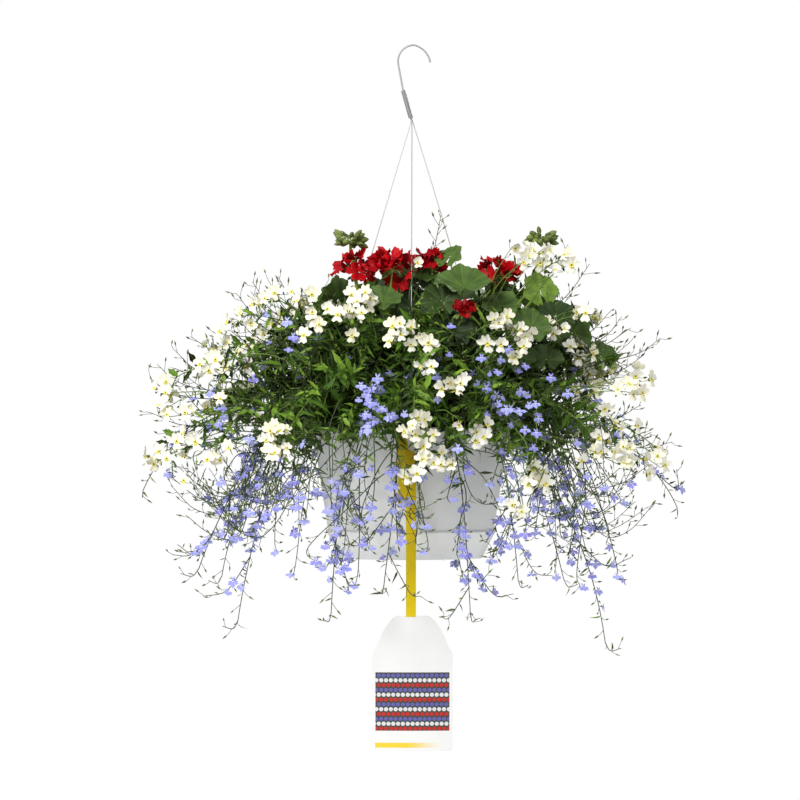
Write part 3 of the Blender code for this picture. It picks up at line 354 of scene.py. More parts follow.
# Ends of bare flowering stems that stand out of the mound in front
FRONT_WISPS = (
    (-331, 123), (-356, 104), (-381, 82), (-392, 61), (-396, 10), (-369, -20), (-339, 64), (-262, 188),
    (-238, 205), (-200, 214), (-130, 196), (316, 153), (300, 162), (330, 136), (373, 120), (350, 96),
    (361, -20), (392, -35), (345, 20), (268, 232), (236, 262),
)

# The mound of foliage: its half-widths, its foot and height from the rim, and how square its outline is
MOUND_X = 0.295
MOUND_Y = 0.265
MOUND_FOOT = -0.045
MOUND_HEIGHT = 0.225
MOUND_SQUARE = 3.0
# How many sectors round the pot it is cut into, and how many stems of each kind it has
MOUND_SECTORS = 10
LEAFY_STEMS = 236
LOW_STEMS = 84
FINE_STEMS = 130
CURLED_STEMS = 44
WISPS = 26
# The pieces of each sector: their names and slots
SECTOR_PIECES = {
    "leafy": ("nemesia_mound", "foliage"),
    "fine": ("lobelia_mound", "foliage"),
    "white": ("nemesia_flowers", "nemesia_petal"),
    "blue": ("lobelia_flowers", "lobelia_petal"),
}
# Flowers in front hang on longer stalks under this height, in millimetres from the rim
HANGING_Z = -60

# Each geranium bloom: florets, height of the lowest (1 is the top), how much darker its petals are painted as shade
# where it sits under or behind leaves, size, how loose, and how far its hub is under its middle
BLOOMS = {
    "1_1": (7, -0.25, 0.0, 0.86, 0.018, 0.013),
    "1_2": (10, -0.20, 0.0, 0.90, 0.010, 0.013),
    "2_1": (5, 0.3, 0.55, 0.60, 0.004, -0.003),
    "2_2": (9, -0.15, 0.1, 0.86, 0.010, 0.013),
    "3_1": (10, -0.20, 0.0, 0.88, 0.013, 0.013),
    "5_1": (10, -0.15, 0.2, 0.92, 0.010, 0.013),
}

# Bends that keep some stems clear of others, for each spray
NO_SWAY = (0, 0, 0)
NEMESIA_SWAYS = {
    1: (-0.0087, 0.0058, -0.0041),
    12: (-0.0029, -0.0028, -0.0024),
    BARE_NUMBER: (0.0006, 0.0022, -0.0018),
}
LOBELIA_SWAYS = {5: (-0.0011, 0.0013, 0.0030), 9: (-0.0036, -0.0056, 0.0027)}

# A twig: its first and last radius, and sides
TWIG = (0.0005, 0.0004, 3)
# Each kind of stem: its first and last radius, sides and look
STEMS = {
    "spray": (NEMESIA_STEM, NEMESIA_STEM * 0.5, 6, "nemesia_stem"),
    "fork": (NEMESIA_STEM * 0.85, NEMESIA_STEM * 0.5, 6, "nemesia_stem"),
    "bare": (NEMESIA_STEM, NEMESIA_STEM * 0.35, 6, "nemesia_stem"),
    "leafy": (0.0012, 0.0006, 5, "nemesia_stem"),
    "low": (0.0011, 0.0006, 4, "nemesia_stem"),
    "white": (0.0009, 0.0005, 4, "nemesia_stem"),
    "trail": (LOBELIA_STEM, LOBELIA_STEM * 0.5, 6, "lobelia_stem"),
    "side": (0.0008, 0.0005, 4, "lobelia_stem"),
    "fine": (0.0010, 0.0006, 4, "lobelia_stem"),
    "curl": (0.0011, 0.0005, 4, "lobelia_stem"),
    "wisp": (0.0011, 0.0004, 4, "lobelia_stem"),
    "blue": (0.0009, 0.0005, 4, "lobelia_stem"),
}
# Its leaves: their form, from and to what share of the stem, how far apart and how large
LEAVES = {
    "spray": (("nemesia_leaf", 0.22, 0.88, 0.013, 1.15),),
    "fork": (("nemesia_leaf", 0.12, 0.88, 0.013, 1.15),),
    "bare": (("nemesia_leaf", 0.3, 0.7, 0.018, 0.9),),
    "leafy": (("nemesia_leaf", 0.36, 1.0, 0.0095, 1.15),),
    "low": (("nemesia_leaf", 0.35, 1.0, 0.0100, 1.1),),
    "wisp": (("nemesia_leaf", 0.3, 0.75, 0.014, 0.7),),
    "trail": (("lobelia_leaf", 0.12, 0.46, 0.0065, 1.1), ("lobelia_leaf", 0.46, 0.95, 0.026, 0.75)),
    "side": (("lobelia_leaf", 0.1, 0.6, 0.011, 0.8),),
    "fine": (("lobelia_leaf", 0.25, 0.85, 0.0060, 1.25),),
    "curl": (("lobelia_leaf", 0.15, 0.48, 0.0080, 1.1), ("lobelia_leaf", 0.5, 0.85, 0.024, 0.7)),
    "blue": (("lobelia_leaf", 0.05, 0.5, 0.016, 1.0),),
    "hanging": (("lobelia_leaf", 0.05, 0.5, 0.030, 1.0),),
}
# Its twigs: what they end in, from and to what share of the stem, how far apart and how long
TWIGS = {
    "spray": ("young_bud", 0.72, 0.98, 0.008, 0.010),
    "bare": ("bud", 0.74, 0.99, 0.008, 0.012),
    "leafy": ("young_bud", 0.75, 1.0, 0.007, 0.012),
    "white": ("young_bud", 0.6, 1.0, 0.014, 0.009),
    "trail": ("bud", 0.6, 1.0, 0.019, 0.010),
    "side": ("bud", 0.5, 1.0, 0.012, 0.009),
    "fine": ("bud", 0.80, 1.0, 0.014, 0.010),
    "curl": ("bud", 0.68, 1.0, 0.014, 0.010),
    "wisp": ("bud", 0.74, 1.0, 0.009, 0.011),
    "blue": ("bud", 0.6, 1.0, 0.014, 0.009),
}


def srgb(red, green, blue):
    """A colour as seen, 0 to 255, as a shader's linear values."""
    values = [value / 255 for value in (red, green, blue)]
    return (*[v / 12.92 if v <= 0.04045 else ((v + 0.055) / 1.055) ** 2.4 for v in values], 1)


def rim_point(x, y, z):
    return np.array((POT_X + x, y, RIM_Z + z))


def around(radius, degrees, z):
    angle = math.radians(degrees)
    return np.array((POT_X + radius * math.cos(angle), radius * math.sin(angle), z))


def at_height(place, z):
    return np.array((place[0], place[1], z))


def seen(x, z, y):
    """The place at depth y that the camera sees at millimetres x and z from the rim's centre."""
    share = (CAMERA_DISTANCE + y) / CAMERA_DISTANCE
    place = rim_point(x / 1000, y, z / 1000)
    return np.array((CAMERA_X + (place[0] - CAMERA_X) * share, y, CAMERA_Z + (place[2] - CAMERA_Z) * share))


def cross(a, b):
    return np.array((a[1] * b[2] - a[2] * b[1], a[2] * b[0] - a[0] * b[2], a[0] * b[1] - a[1] * b[0]))


def unit(v):
    return v / math.sqrt(v[0] * v[0] + v[1] * v[1] + v[2] * v[2] + 1e-18)


def outward(place):
    """The level direction from the pot's axis to a place."""
    return unit(np.array((place[0] - POT_X, place[1], 0.0)))


def square_to(direction, near=UP):
    """A unit vector square to a direction, as near to another as it can be."""
    side = near - direction * near.dot(direction)
    if side.dot(side) < 1e-6:
        side = np.array((1.0, 0, 0)) - direction * direction[0]
    return unit(side)


def facing(look, up=UP):
    """A turn that takes +Z to a direction, with +Y as near to up as it can be."""
    z = unit(look)
    y = square_to(z, up)
    return np.stack((cross(y, z), y, z), axis=1)


def lying(direction, normal):
    """A turn that takes +Y to a direction, with +Z as near to the normal as it can be."""
    y = unit(direction)
    z = square_to(y, normal)
    return np.stack((cross(y, z), y, z), axis=1)


def bezier(a, b, c, d, count):
    t = np.linspace(0, 1, count)[:, None]
    s = 1 - t
    return a * s**3 + b * (3 * s * s * t) + c * (3 * s * t * t) + d * t**3


def arching(root, tip, rise, lift, count, sway=0):
    """The route of a stem that rises from the mix and arches out to its tip."""
    start = at_height(root, MIX_Z + STEM_START)
    out = np.array((tip[0] - start[0], tip[1] - start[1], 0))
    middle = start + UP * rise + out * 0.12 + sway
    return bezier(start, middle, tip - out * 0.22 + UP * lift + sway, tip, count)


def wander(points, rng, amount):
    """The line with a slow random sway that fades at both of its ends."""
    share = np.linspace(0, 1, len(points))[:, None]
    return points + amount * sum(rng.normal(0, 1, 3) * np.sin(math.pi * k * share) / k**1.5 for k in (1, 2, 3, 4))


def through(places, steps):
    """A smooth line through the places."""
    places = np.array(places, float)
    ends = np.concatenate((2 * places[:1] - places[1:2], places, 2 * places[-1:] - places[-2:-1]))
    share = np.linspace(0, 1, steps, endpoint=False)[:, None]
    rows = []
    for a, b, c, d in zip(ends, ends[1:], ends[2:], ends[3:]):
        pull = 2 * a - 5 * b + 4 * c - d
        rows.append(0.5 * (2 * b + (c - a) * share + pull * share**2 + (3 * b - a - 3 * c + d) * share**3))
    return np.concatenate((*rows, places[-1:]))


class Route:
    """A stem's line, read by the distance along it."""

    def __init__(self, points):
        self.points = points
        steps = np.diff(points, axis=0)
        lengths = np.sqrt((steps**2).sum(axis=1))
        self.reached = np.concatenate(((0,), np.cumsum(lengths)))
        self.headings = steps / lengths[:, None]
        self.length = self.reached[-1]

    def at(self, distance):
        i = int(np.searchsorted(self.reached, distance, side="right")) - 1
        i = min(max(i, 0), len(self.headings) - 1)
        return self.points[i] + self.headings[i] * (distance - self.reached[i]), self.headings[i]


def rooted(root, points):
    """A stem's route with its first stretch in the mix."""
    return Route(np.concatenate((at_height(root, MIX_Z - STEM_DEPTH)[None], points)))


class Form:
    """A shape made of sheets of quads. local holds each place's own coordinates on its leaf, petal or stem."""

    def __init__(self):
        self.sheets = []
        self.count = 0

    def sheet(self, places, local, look, closed=False):
        """places is rows by columns by 3; closed joins the last column to the first."""
        rows, columns = places.shape[:2]
        index = self.count + np.arange(rows * columns).reshape(rows, columns)
        if closed:
            index = np.concatenate((index, index[:, :1]), axis=1)
        quads = np.stack((index[:-1, :-1], index[:-1, 1:], index[1:, 1:], index[1:, :-1]), axis=-1)
        quads = quads.reshape(-1, 4)
        looks = np.full(len(quads), list(LOOKS).index(look))
        self.sheets.append((places.reshape(-1, 3), local.reshape(-1, 3), quads, looks))
        self.count += rows * columns
        return self

    def done(self):
        self.places, self.local, self.quads, self.looks = [np.concatenate(part) for part in zip(*self.sheets)]
        return self


def tube_form(points, radii, sides, look):
    """A round stem or wire along the points, closed at both ends by a short cap."""
    cap_length = 0.3
    cap_radius = 0.12
    points = np.asarray(points, float)
    tangents = np.gradient(points, axis=0)
    tangents /= np.sqrt((tangents**2).sum(axis=1))[:, None] + 1e-12
    first = points[0] - tangents[0] * radii[0] * cap_length
    last = points[-1] + tangents[-1] * radii[-1] * cap_length
    points = np.concatenate((first[None], points, last[None]))
    tangents = np.concatenate((tangents[:1], tangents, tangents[-1:]))
    radii = np.concatenate(((radii[0] * cap_radius,), radii, (radii[-1] * cap_radius,)))
    angles = math.tau * np.arange(sides) / sides
    normal = square_to(tangents[0])
    normals = []
    for tangent in tangents:
        normal = unit(normal - tangent * normal.dot(tangent))
        normals.append(normal)
    normals = np.array(normals)
    others = np.cross(tangents, normals)
    rings = normals[:, None] * np.cos(angles)[None, :, None] + others[:, None] * np.sin(angles)[None, :, None]
    share = np.linspace(0, 1, len(points))
    local = np.stack(np.broadcast_arrays(np.cos(angles)[None], share[:, None], 0.0), axis=-1)
    return Form().sheet(points[:, None] + rings * radii[:, None, None], local, look, closed=True).done()


class Piece:
    """Gathers placed forms and stems into one mesh."""

    def __init__(self):
        self.rows = []
        self.count = 0

    def gather(self, form, places, tint):
        self.rows.append((places, form.local, form.quads + self.count, form.looks, np.full(len(places), tint)))
        self.count += len(places)

    def add(self, form, turn, origin, tint, scale=1.0):
        self.gather(form, form.places @ (turn.T * scale) + origin, tint)

    def stem(self, points, first, last, sides, look, tint):
        """A stem along the points, from its first radius to its last."""
        form = tube_form(points, np.linspace(first, last, len(points)), sides, look)
        self.gather(form, form.places, tint)

    def wire(self, points, radius, sides, tint):
        self.stem(points, radius, radius, sides, "galvanised_steel", tint)

    def finish(self, name, slot, replaces=()):
        places, local, quads, looks, tints = [np.concatenate(part) for part in zip(*self.rows)]
        mesh = bpy.data.meshes.new(name)
        mesh.vertices.add(len(places))
        mesh.vertices.foreach_set("co", places.astype(np.float32).ravel())
        mesh.loops.add(quads.size)
        mesh.loops.foreach_set("vertex_index", quads.astype(np.int32).ravel())
        mesh.polygons.add(len(quads))
        mesh.polygons.foreach_set("loop_start", np.arange(0, quads.size, 4, dtype=np.int32))
        dress(mesh, looks)
        mesh.update(calc_edges=True)
        own_places = mesh.attributes.new("local", "FLOAT_VECTOR", "POINT")
        own_places.data.foreach_set("vector", local.astype(np.float32).ravel())
        own_tints = mesh.attributes.new("tint", "FLOAT", "POINT")
        own_tints.data.foreach_set("value", tints.astype(np.float32))
        mesh.shade_smooth()
        return finish_piece(bpy.data.objects.new(name, mesh), replaces)


def hard_piece(name, form, sharpest, replaces):
    """A piece of moulded or cut plastic, smooth but for edges sharper than an angle."""
    mesh = bpy.data.meshes.new(name)
    mesh.from_pydata(form.places.tolist(), [], form.quads.tolist())
    dress(mesh, form.looks)
    mesh.shade_smooth()
    mesh.set_sharp_from_angle(angle=math.radians(sharpest))
    return finish_piece(bpy.data.objects.new(name, mesh), replaces)


def dress(mesh, looks):
    """Gives each face its look."""
    used = np.unique(looks)
    for index in used:
        mesh.materials.append(list(LOOKS.values())[index])
    mesh.polygons.foreach_set("material_index", np.searchsorted(used, looks).astype(np.int32))


def finish_piece(piece, replaces=()):
    bpy.context.scene.collection.objects.link(piece)
    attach(piece, "root")
    if replaces:
        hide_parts(*replaces)
    return piece


# Materials


class Value:
    """A value in a material, for sums written as usual."""

    def __init__(self, look, socket):
        self.look = look
        self.socket = socket

    def __add__(self, other):
        return self.look.math("ADD", self, other)

    def __sub__(self, other):
        return self.look.math("SUBTRACT", self, other)

    def __mul__(self, other):
        return self.look.math("MULTIPLY", self, other)

    def __truediv__(self, other):
        return self.look.math("DIVIDE", self, other)


class Look:
    """A procedural material built round one Principled shader."""

    def __init__(self, name, roughness=0.5, metallic=0.0, **constants):
        LOOKS[name] = bpy.data.materials.new(name)
        LOOKS[name].use_nodes = True
        self.tree = LOOKS[name].node_tree
        self.shader = self.tree.nodes["Principled BSDF"]
        self.shader.inputs["Roughness"].default_value = roughness
        self.shader.inputs["Metallic"].default_value = metallic
        for key, value in constants.items():
            self.shader.inputs[key.replace("_", " ").title().replace("Ior", "IOR")].default_value = value

    def node(self, kind, inputs, output=0, **settings):
        made = self.tree.nodes.new("ShaderNode" + kind)
        for key, value in settings.items():
            setattr(made, key, value)
        for key, value in inputs.items():
            self.feed(made.inputs[key], value)
        return Value(self, made.outputs[output])

    def feed(self, socket, value):
        if isinstance(value, Value):
            self.tree.links.new(value.socket, socket)
        else:
            socket.default_value = value

    def tint(self):
        return self.node("Attribute", {}, "Fac", attribute_name="tint")

    def local(self):
        """A point's own coordinates on its leaf, petal or stem."""
        return self.split(self.node("Attribute", {}, "Vector", attribute_name="local"))

    def place(self):
        return self.node("TexCoord", {}, "Object")

    def split(self, vector):
        made = self.node("SeparateXYZ", {0: vector})
        return [Value(self, output) for output in made.socket.node.outputs]

    def math(self, operation, a, b=0.0):
        return self.node("Math", {0: a, 1: b}, operation=operation)

    def noise(self, scale, detail=3.0):
        return self.node("TexNoise", {"Vector": self.place(), "Scale": scale, "Detail": detail}, "Fac")

    def ease(self, value, low, high, start=0.0, end=1.0):
        """Goes smoothly from start to end while a value goes from low to high."""
        inputs = {"Value": value, "From Min": low, "From Max": high, "To Min": start, "To Max": end}
        return self.node("MapRange", inputs, interpolation_type="SMOOTHSTEP")

    def mix(self, share, a, b):
        return self.node("Mix", {0: share, 6: a, 7: b}, 2, data_type="RGBA")

    def colour(self, base, *layers):
        """The colour: a base, and over it layers of (share, colour)."""
        for share, colour in layers:
            base = self.mix(share, base, colour)
        self.feed(self.shader.inputs["Base Color"], base)

    def rough(self, grain, low, high, span=(0.2, 0.8)):
        """Roughness from low to high where the grain goes over its span."""
        self.feed(self.shader.inputs["Roughness"], self.ease(grain, *span, low, high))

    def bump(self, height, distance, strength):
        normal = self.node("Bump", {"Height": height, "Distance": distance, "Strength": strength}, "Normal")
        self.feed(self.shader.inputs["Normal"], normal)


def leaf_look(name, dark, middle, light, lines):
    """A leaf with its own tint, a pale midrib and slanting side veins."""
    look = Look(name, specular_ior_level=0.15)
    across, along, _ = look.local()
    apart = look.math("ABSOLUTE", across)
    patches = look.noise(120)
    toned = look.tint() + (patches - 0.5) * 0.5
    side_veins = look.ease(look.math("SINE", (along - apart * 0.14) * lines), 0.55, 1.0)
    veins = look.math("MAXIMUM", look.ease(apart, 0.04, 0.22, 1.0, 0.0), side_veins * 0.35)
    base = look.mix(look.ease(toned, 0.0, 0.6), dark, middle)
    look.colour(base, (look.ease(toned, 0.6, 1.05), light), (veins * 0.35, light))
    look.rough(patches, 0.34, 0.56)
    look.bump(patches - veins, 0.0004, 0.5)


def petal_look(name, base, inner, line, shade, lines, reach=0.30):
    """A petal with fine lines along it and another colour at its throat."""
    look = Look(name, specular_ior_level=0.2)
    across, along, _ = look.local()
    grain = look.noise(300)
    fine = look.ease(look.math("SINE", across * lines), 0.5, 1.0)
    look.colour(
        base,
        (look.tint() * look.ease(grain, 0.2, 0.8, 0.7, 1.2), shade),
        (fine * look.ease(along, 0.1, 1.0, 0.35, 0.08), line),
        (look.ease(along, 0.10, reach, 1.0, 0.0), inner),
    )
    look.rough(grain, 0.47, 0.65)
    look.bump(grain + fine * 0.5, 0.0002, 0.4)


def stem_look(name, dark, light):
    """A stem, bud or pod, lighter with its tint."""
    look = Look(name, specular_ior_level=0.3)
    patches = look.noise(90)
    look.colour(look.mix(look.tint() * 0.7 + patches * 0.35, dark, light))
    look.rough(patches, 0.42, 0.66)
    look.bump(patches, 0.0003, 0.4)


def geranium_leaf_look():
    """A round leaf with veins that spread from its stalk, a faint darker ring, painted shade in the furrows between
    its veins and a felted surface.
    """
    look = Look("geranium_leaf", specular_ior_level=0.3)
    tint = look.tint()
    x, y, share = look.local()
    angle = look.math("ARCTAN2", x, y)
    patches = look.noise(60, 4)
    wobble = (patches - 0.5) * 0.6
    rays = look.math("COSINE", angle * LEAF_LOBES + wobble)
    forks = look.math("COSINE", angle * (LEAF_LOBES * 3) + wobble)
    small_veins = look.ease(forks, 0.82, 1.0) * look.ease(share, 0.3, 0.75)
    veins = look.math("MAXIMUM", look.ease(rays, 0.93, 1.0), small_veins * 0.6)
    # Painted shade: the furrows between the veins, where the pleated leaf dips, are mixed darker
    furrow_shade = look.ease(rays, -1.0, -0.2, 1.0, 0.0) * look.ease(share, 0.1, 0.8)
    ring = look.ease(share, 0.35, 0.55) * look.ease(share, 0.62, 0.82, 1.0, 0.0)
    look.colour(
        look.mix(look.ease(tint, 0.0, 0.65), srgb(22, 42, 8), srgb(76, 104, 38)),
        (look.ease(tint, 0.70, 1.0), srgb(118, 150, 48)),
        (patches * 0.45, srgb(52, 74, 26)),
        (ring * 0.25, srgb(34, 52, 20)),
        (furrow_shade * 0.25, srgb(40, 58, 22)),
        (veins * 0.17, srgb(136, 156, 100)),
    )
    look.rough(patches, 0.48, 0.72)
    look.bump(patches * 0.6 - veins, 0.0007, 0.6)


def steel_look():
    """Zinc-coated wire, from dull grey at tint 0 to bright at 1."""
    look = Look("galvanised_steel", metallic=0.2)
    spangle = look.noise(400, 4)
    look.colour(look.mix(look.tint(), srgb(96, 97, 98), srgb(226, 226, 226)), (spangle * 0.3, srgb(170, 170, 170)))
    look.rough(spangle, 0.32, 0.52)
    look.bump(spangle, 0.0001, 0.3)


def pot_look():
    """White moulded plastic with a slight sheen, faint scuffs and painted shade that greys its foot."""
    look = Look("pot_plastic", coat_weight=0.25, coat_roughness=0.15)
    cloud = look.noise(9)
    _, _, height = look.split(look.place())
    look.colour(
        look.mix(cloud, srgb(220, 222, 221), srgb(229, 230, 229)),
        # Painted shade: towards its bottom the foot, which faces down, is mixed to a bluish grey
        (look.ease(height, SAUCER_BASE_Z, SAUCER_BASE_Z + 0.03, 0.35, 0.0), srgb(186, 190, 194)),
        (look.ease(look.noise(45, 8), 0.60, 0.72) * 0.12, srgb(166, 168, 162)),
    )
    look.rough(cloud, 0.24, 0.38, (0.3, 0.7))
    look.bump(look.noise(700, 2) * 0.2 + cloud * 0.6, 0.0004, 0.25)


def mix_look():
    """Dark crumbs with browner fibre."""
    look = Look("potting_mix", 0.95)
    crumbs = look.noise(260, 6)
    look.colour(
        look.mix(crumbs, srgb(28, 20, 14), srgb(84, 62, 44)),
        (look.noise(60, 4) * 0.4, srgb(58, 40, 26)),
    )
    look.bump(crumbs, 0.003, 1.0)


def perlite_look():
    """White porous grains."""
    look = Look("perlite", 0.9)
    grain = look.noise(500)
    look.colour(look.mix(grain, srgb(196, 192, 184), srgb(238, 236, 230)))
    look.bump(grain, 0.0006, 0.8)


def paper(look, *layers):
    """White sheet with a fine grain, under the layers of a print."""
    look.colour(look.mix(look.noise(30, 2), srgb(216, 216, 214), srgb(222, 222, 220)), *layers)
    grain = look.noise(500, 2)
    look.rough(grain, 0.34, 0.50)
    look.bump(grain, 0.0002, 0.2)


def tag_look():
    """White sheet with a plain print: rows of red, white and blue dots on dark green, and a yellow bar."""
    look = Look("tag_sheet", coat_weight=0.15, coat_roughness=0.3)
    x, _, z = look.split(look.place())
    x = x - (POT_X + TAG_CENTRE)

    def within(value, low, high):
        start = look.ease(value, low, low + PRINT_EDGE)
        return start * look.ease(value, high - PRINT_EDGE, high, 1.0, 0.0)

    row = (z - PICTURE_Z[0]) / PICTURE_ROW
    number = look.math("FLOOR", row)
    across = look.math("FRACT", x / PICTURE_ROW + number * 0.5) - 0.5
    up = look.math("FRACT", row) - 0.5
    apart = look.math("SQRT", across * across + up * up)
    dots = look.ease(apart + (look.noise(700) - 0.5) * 0.16, 0.40, 0.46, 1.0, 0.0)
    kind = look.math("FLOORED_MODULO", number, 3.0)
    colour = look.mix(look.ease(kind, 0.4, 0.6), srgb(186, 24, 20), srgb(220, 220, 222))
    colour = look.mix(look.ease(kind, 1.4, 1.6), colour, srgb(92, 90, 164))
    colour = look.mix(look.noise(420, 2) * 0.35, colour, srgb(60, 34, 40))
    ground = look.mix(look.noise(200, 2), srgb(24, 38, 24), srgb(52, 66, 48))
    picture = within(z, *PICTURE_Z) * within(x, *PICTURE_X)
    bar = within(z, *BAR_Z) * within(x, *BAR_X) * look.ease(x, *BAR_FADE, 1.0, 0.0)
    paper(look, (picture, look.mix(dots, ground, colour)), (bar, srgb(222, 192, 44)))


def strap_look():
    """Yellow strap, darker where it hangs under the leaves: painted shade."""
    look = Look("strap_plastic", specular_ior_level=0.3, coat_weight=0.08, coat_roughness=0.2)
    cloud = look.noise(40)
    _, _, height = look.split(look.place())
    look.colour(
        # Painted shade: darker towards the top, where the strap hangs under the leaves
        look.mix(look.ease(height, -0.74, -0.62, 1.0, 0.0), srgb(176, 150, 2), srgb(210, 184, 4)),
        (cloud * 0.25, srgb(190, 164, 4)),
    )
    look.rough(cloud, 0.28, 0.42, (0.3, 0.7))
    look.bump(look.noise(600, 2), 0.0002, 0.25)


def make_looks():
    """Every material. A piece's faces take theirs by name."""
    geranium_leaf_look()
    stem_look("geranium_stem", srgb(64, 86, 26), srgb(164, 190, 76))
    # Geranium: the darker red at its throat is painted shade where the petals meet, and its shade colour paints
    # shaded florets
    petal_look("geranium_petal", srgb(190, 0, 14), srgb(128, 0, 10), srgb(128, 0, 8), srgb(128, 0, 8), 26, 0.25)
    stem_look("geranium_bud", srgb(54, 70, 26), srgb(126, 142, 72))
    leaf_look("nemesia_leaf", srgb(10, 26, 3), srgb(58, 92, 20), srgb(128, 162, 56), 60)
    stem_look("nemesia_stem", srgb(50, 74, 26), srgb(128, 156, 72))
    white = (srgb(240, 239, 230), srgb(232, 226, 132), srgb(218, 216, 202), srgb(236, 232, 204))
    petal_look("nemesia_petal", *white, 22, 0.34)
    yellow = (srgb(236, 224, 92), srgb(222, 204, 60), srgb(220, 190, 50), srgb(232, 228, 120))
    petal_look("nemesia_throat", *yellow, 14)
    leaf_look("lobelia_leaf", srgb(14, 30, 6), srgb(58, 88, 24), srgb(124, 152, 64), 40)
    stem_look("lobelia_stem", srgb(28, 34, 20), srgb(76, 90, 50))
    blue = (srgb(168, 174, 236), srgb(236, 236, 250), srgb(138, 144, 222), srgb(142, 140, 220))
    petal_look("lobelia_petal", *blue, 20, 0.24)
    stem_look("pod", srgb(60, 68, 46), srgb(122, 140, 84))
    steel_look()
    mix_look()
    perlite_look()
    pot_look()
    tag_look()
    strap_look()
    paper(Look("tag_back"))


# Leaf, petal and flower forms


def spread(rows, columns):
    """Two arrays of shares, 0 to 1 along and -1 to 1 across."""
    return np.meshgrid(np.linspace(0, 1, rows), np.linspace(-1, 1, columns), indexing="ij")


def blade(size, bend, rows, teeth, widest, look):
    """A leaf that starts at the origin, runs along +Y and faces +Z, folded along its midrib.

    size is its length and half-width, and bend is how far it droops, folds and twists."""
    length, half_width = size
    droop, fold, twist = bend
    share, across = spread(rows, 3)
    outline = np.sin(np.pi * share**widest) ** 0.9 + 0.05
    outline *= 1 + teeth * np.where(np.arange(rows) % 2 == 0, -1, 1)[:, None]
    width = half_width * outline
    down = -length * droop * share**2 / 2
    turn = twist * share
    x = across * width * math.cos(fold)
    z = np.abs(across) * width * math.sin(fold)
    turned = (x * np.cos(turn) - z * np.sin(turn), length * share, x * np.sin(turn) + z * np.cos(turn) + down)
    local = np.stack((across, share, np.zeros_like(share)), axis=-1)
    return Form().sheet(np.stack(turned, axis=-1), local, look).done()


def petal(form, grid, size, angle, height, look, cup, roll=0.0, notch=0.0, narrow=0.3, wave=0.0, point=0.3):
    """One petal in a flower that faces +Z, running out from its centre at an angle from +Y.

    size is where it starts, how far it reaches and its half-width. cup lifts its end, roll drops its sides and
    notch cuts its end. narrow is its width at its start, wave ruffles it and point narrows its end."""
    start, length, half_width = size
    share, across = spread(*grid)
    outline = narrow + (1 - narrow) * np.sin(np.pi / 2 * np.clip(share * 1.2, 0, 1)) ** 1.2
    outline *= np.where(share > 0.7, 1 - point * ((share - 0.7) / 0.3) ** 2, 1)
    reach = start + (length - start) * share * (1 - 0.22 * across**2 * share)
    reach -= notch * (length - start) * np.exp(-((across / 0.32) ** 2)) * share**3
    x = across * half_width * outline
    z = height + cup * share**2 * length - roll * across**2 * half_width * share
    z += wave * (np.sin(across * 5.0 + share * 3.0 + angle) + 0.6 * np.sin(across * 9.0 + angle * 3)) * share**2
    cosine = math.cos(angle)
    sine = math.sin(angle)
    places = np.stack((x * cosine + reach * sine, reach * cosine - x * sine, z), axis=-1)
    local = np.stack((across, 0.1 + 0.9 * share, np.zeros_like(share)), axis=-1)
    form.sheet(places, local, look)


def cone(form, rings, sides, look, offset=(0, 0)):
    """A closed tube about Z through rings of (height, radius)."""
    angles = math.tau * np.arange(sides) / sides
    rows = [[(offset[0] + r * math.cos(a), offset[1] + r * math.sin(a), h) for a in angles] for h, r in rings]
    share = np.linspace(0, 1, len(rings))
    local = np.stack(np.broadcast_arrays(np.cos(angles)[None], share[:, None], 0.0), axis=-1)
    form.sheet(np.array(rows, float), local, look, closed=True)


def nemesia_flower(rng, opened):
    """Four long upper lobes, a broad lip in two lobes and a raised yellow palate, on a thin stalk."""
    form = Form()
    plane = 0.0098
    turned = rng.uniform(-0.12, 0.12, 5)
    long = rng.uniform(0.90, 1.08, 5) * opened
    cup = 0.16 + (1 - opened) * 0.9
    upper = {"roll": -0.2, "notch": 0.04, "narrow": 0.28, "wave": 0.0003, "point": 0.35}
    for i, angle in enumerate((0.40, -0.40, 1.26, -1.26)):
        size = (0.0012, 0.0126 * long[i], 0.0042)
        petal(form, (4, 4), size, angle + turned[i], plane + 0.0003 * (i % 2), "nemesia_petal", cup, **upper)
    lip = {"roll": 0.35, "notch": 0.34, "narrow": 0.40, "wave": 0.0005, "point": 0.25}
    size = (0.0014, 0.0130 * long[4], 0.0066)
    petal(form, (5, 6), size, math.pi + turned[4], plane + 0.0008, "nemesia_petal", cup * 0.6, **lip)
    hump = ((plane - 0.001, 0.0014), (plane + 0.0016, 0.0012), (plane + 0.0026, 0.0003))
    for side in (-1, 1):
        cone(form, hump, 4, "nemesia_throat", (side * 0.0011, -0.0020))
    cone(form, ((0.0, 0.0005), (0.0055, 0.0008), (plane + 0.0005, 0.0018)), 5, "nemesia_throat")
    cone(form, ((0.0048, 0.0007), (0.0060, 0.0020), (0.0074, 0.0023)), 4, "pod")
    return form.done()


def lobelia_flower(rng, opened):
    """Three broad lower lobes and two narrow upper ones round a pale eye, on a thin tube."""
    form = Form()
    plane = 0.0080
    turned = rng.uniform(-0.13, 0.13, 5)
    lower = {"roll": 0.3, "narrow": 0.2, "wave": 0.0003, "point": 0.6}
    for i, angle in enumerate((math.pi - 0.95, math.pi, math.pi + 0.95)):
        size = (0.0008, 0.0094 * opened * rng.uniform(0.9, 1.1), 0.0030)
        cup = 0.05 + rng.uniform(-0.2, 0.2)
        petal(form, (5, 3), size, angle + turned[i], plane, "lobelia_petal", cup, **lower)
    upper = {"narrow": 0.6, "point": 0.7}
    for i, angle in enumerate((-0.5, 0.5), 3):
        petal(form, (3, 2), (0.0008, 0.0066, 0.0012), angle + turned[i], plane, "lobelia_petal", -0.25, **upper)
    cone(form, ((0.0, 0.0004), (0.003, 0.0005), (0.0042, 0.0012), (plane, 0.0011)), 4, "lobelia_petal")
    cone(form, ((0.0022, 0.0005), (0.0036, 0.0014), (0.0048, 0.0015)), 4, "pod")
    return form.done()


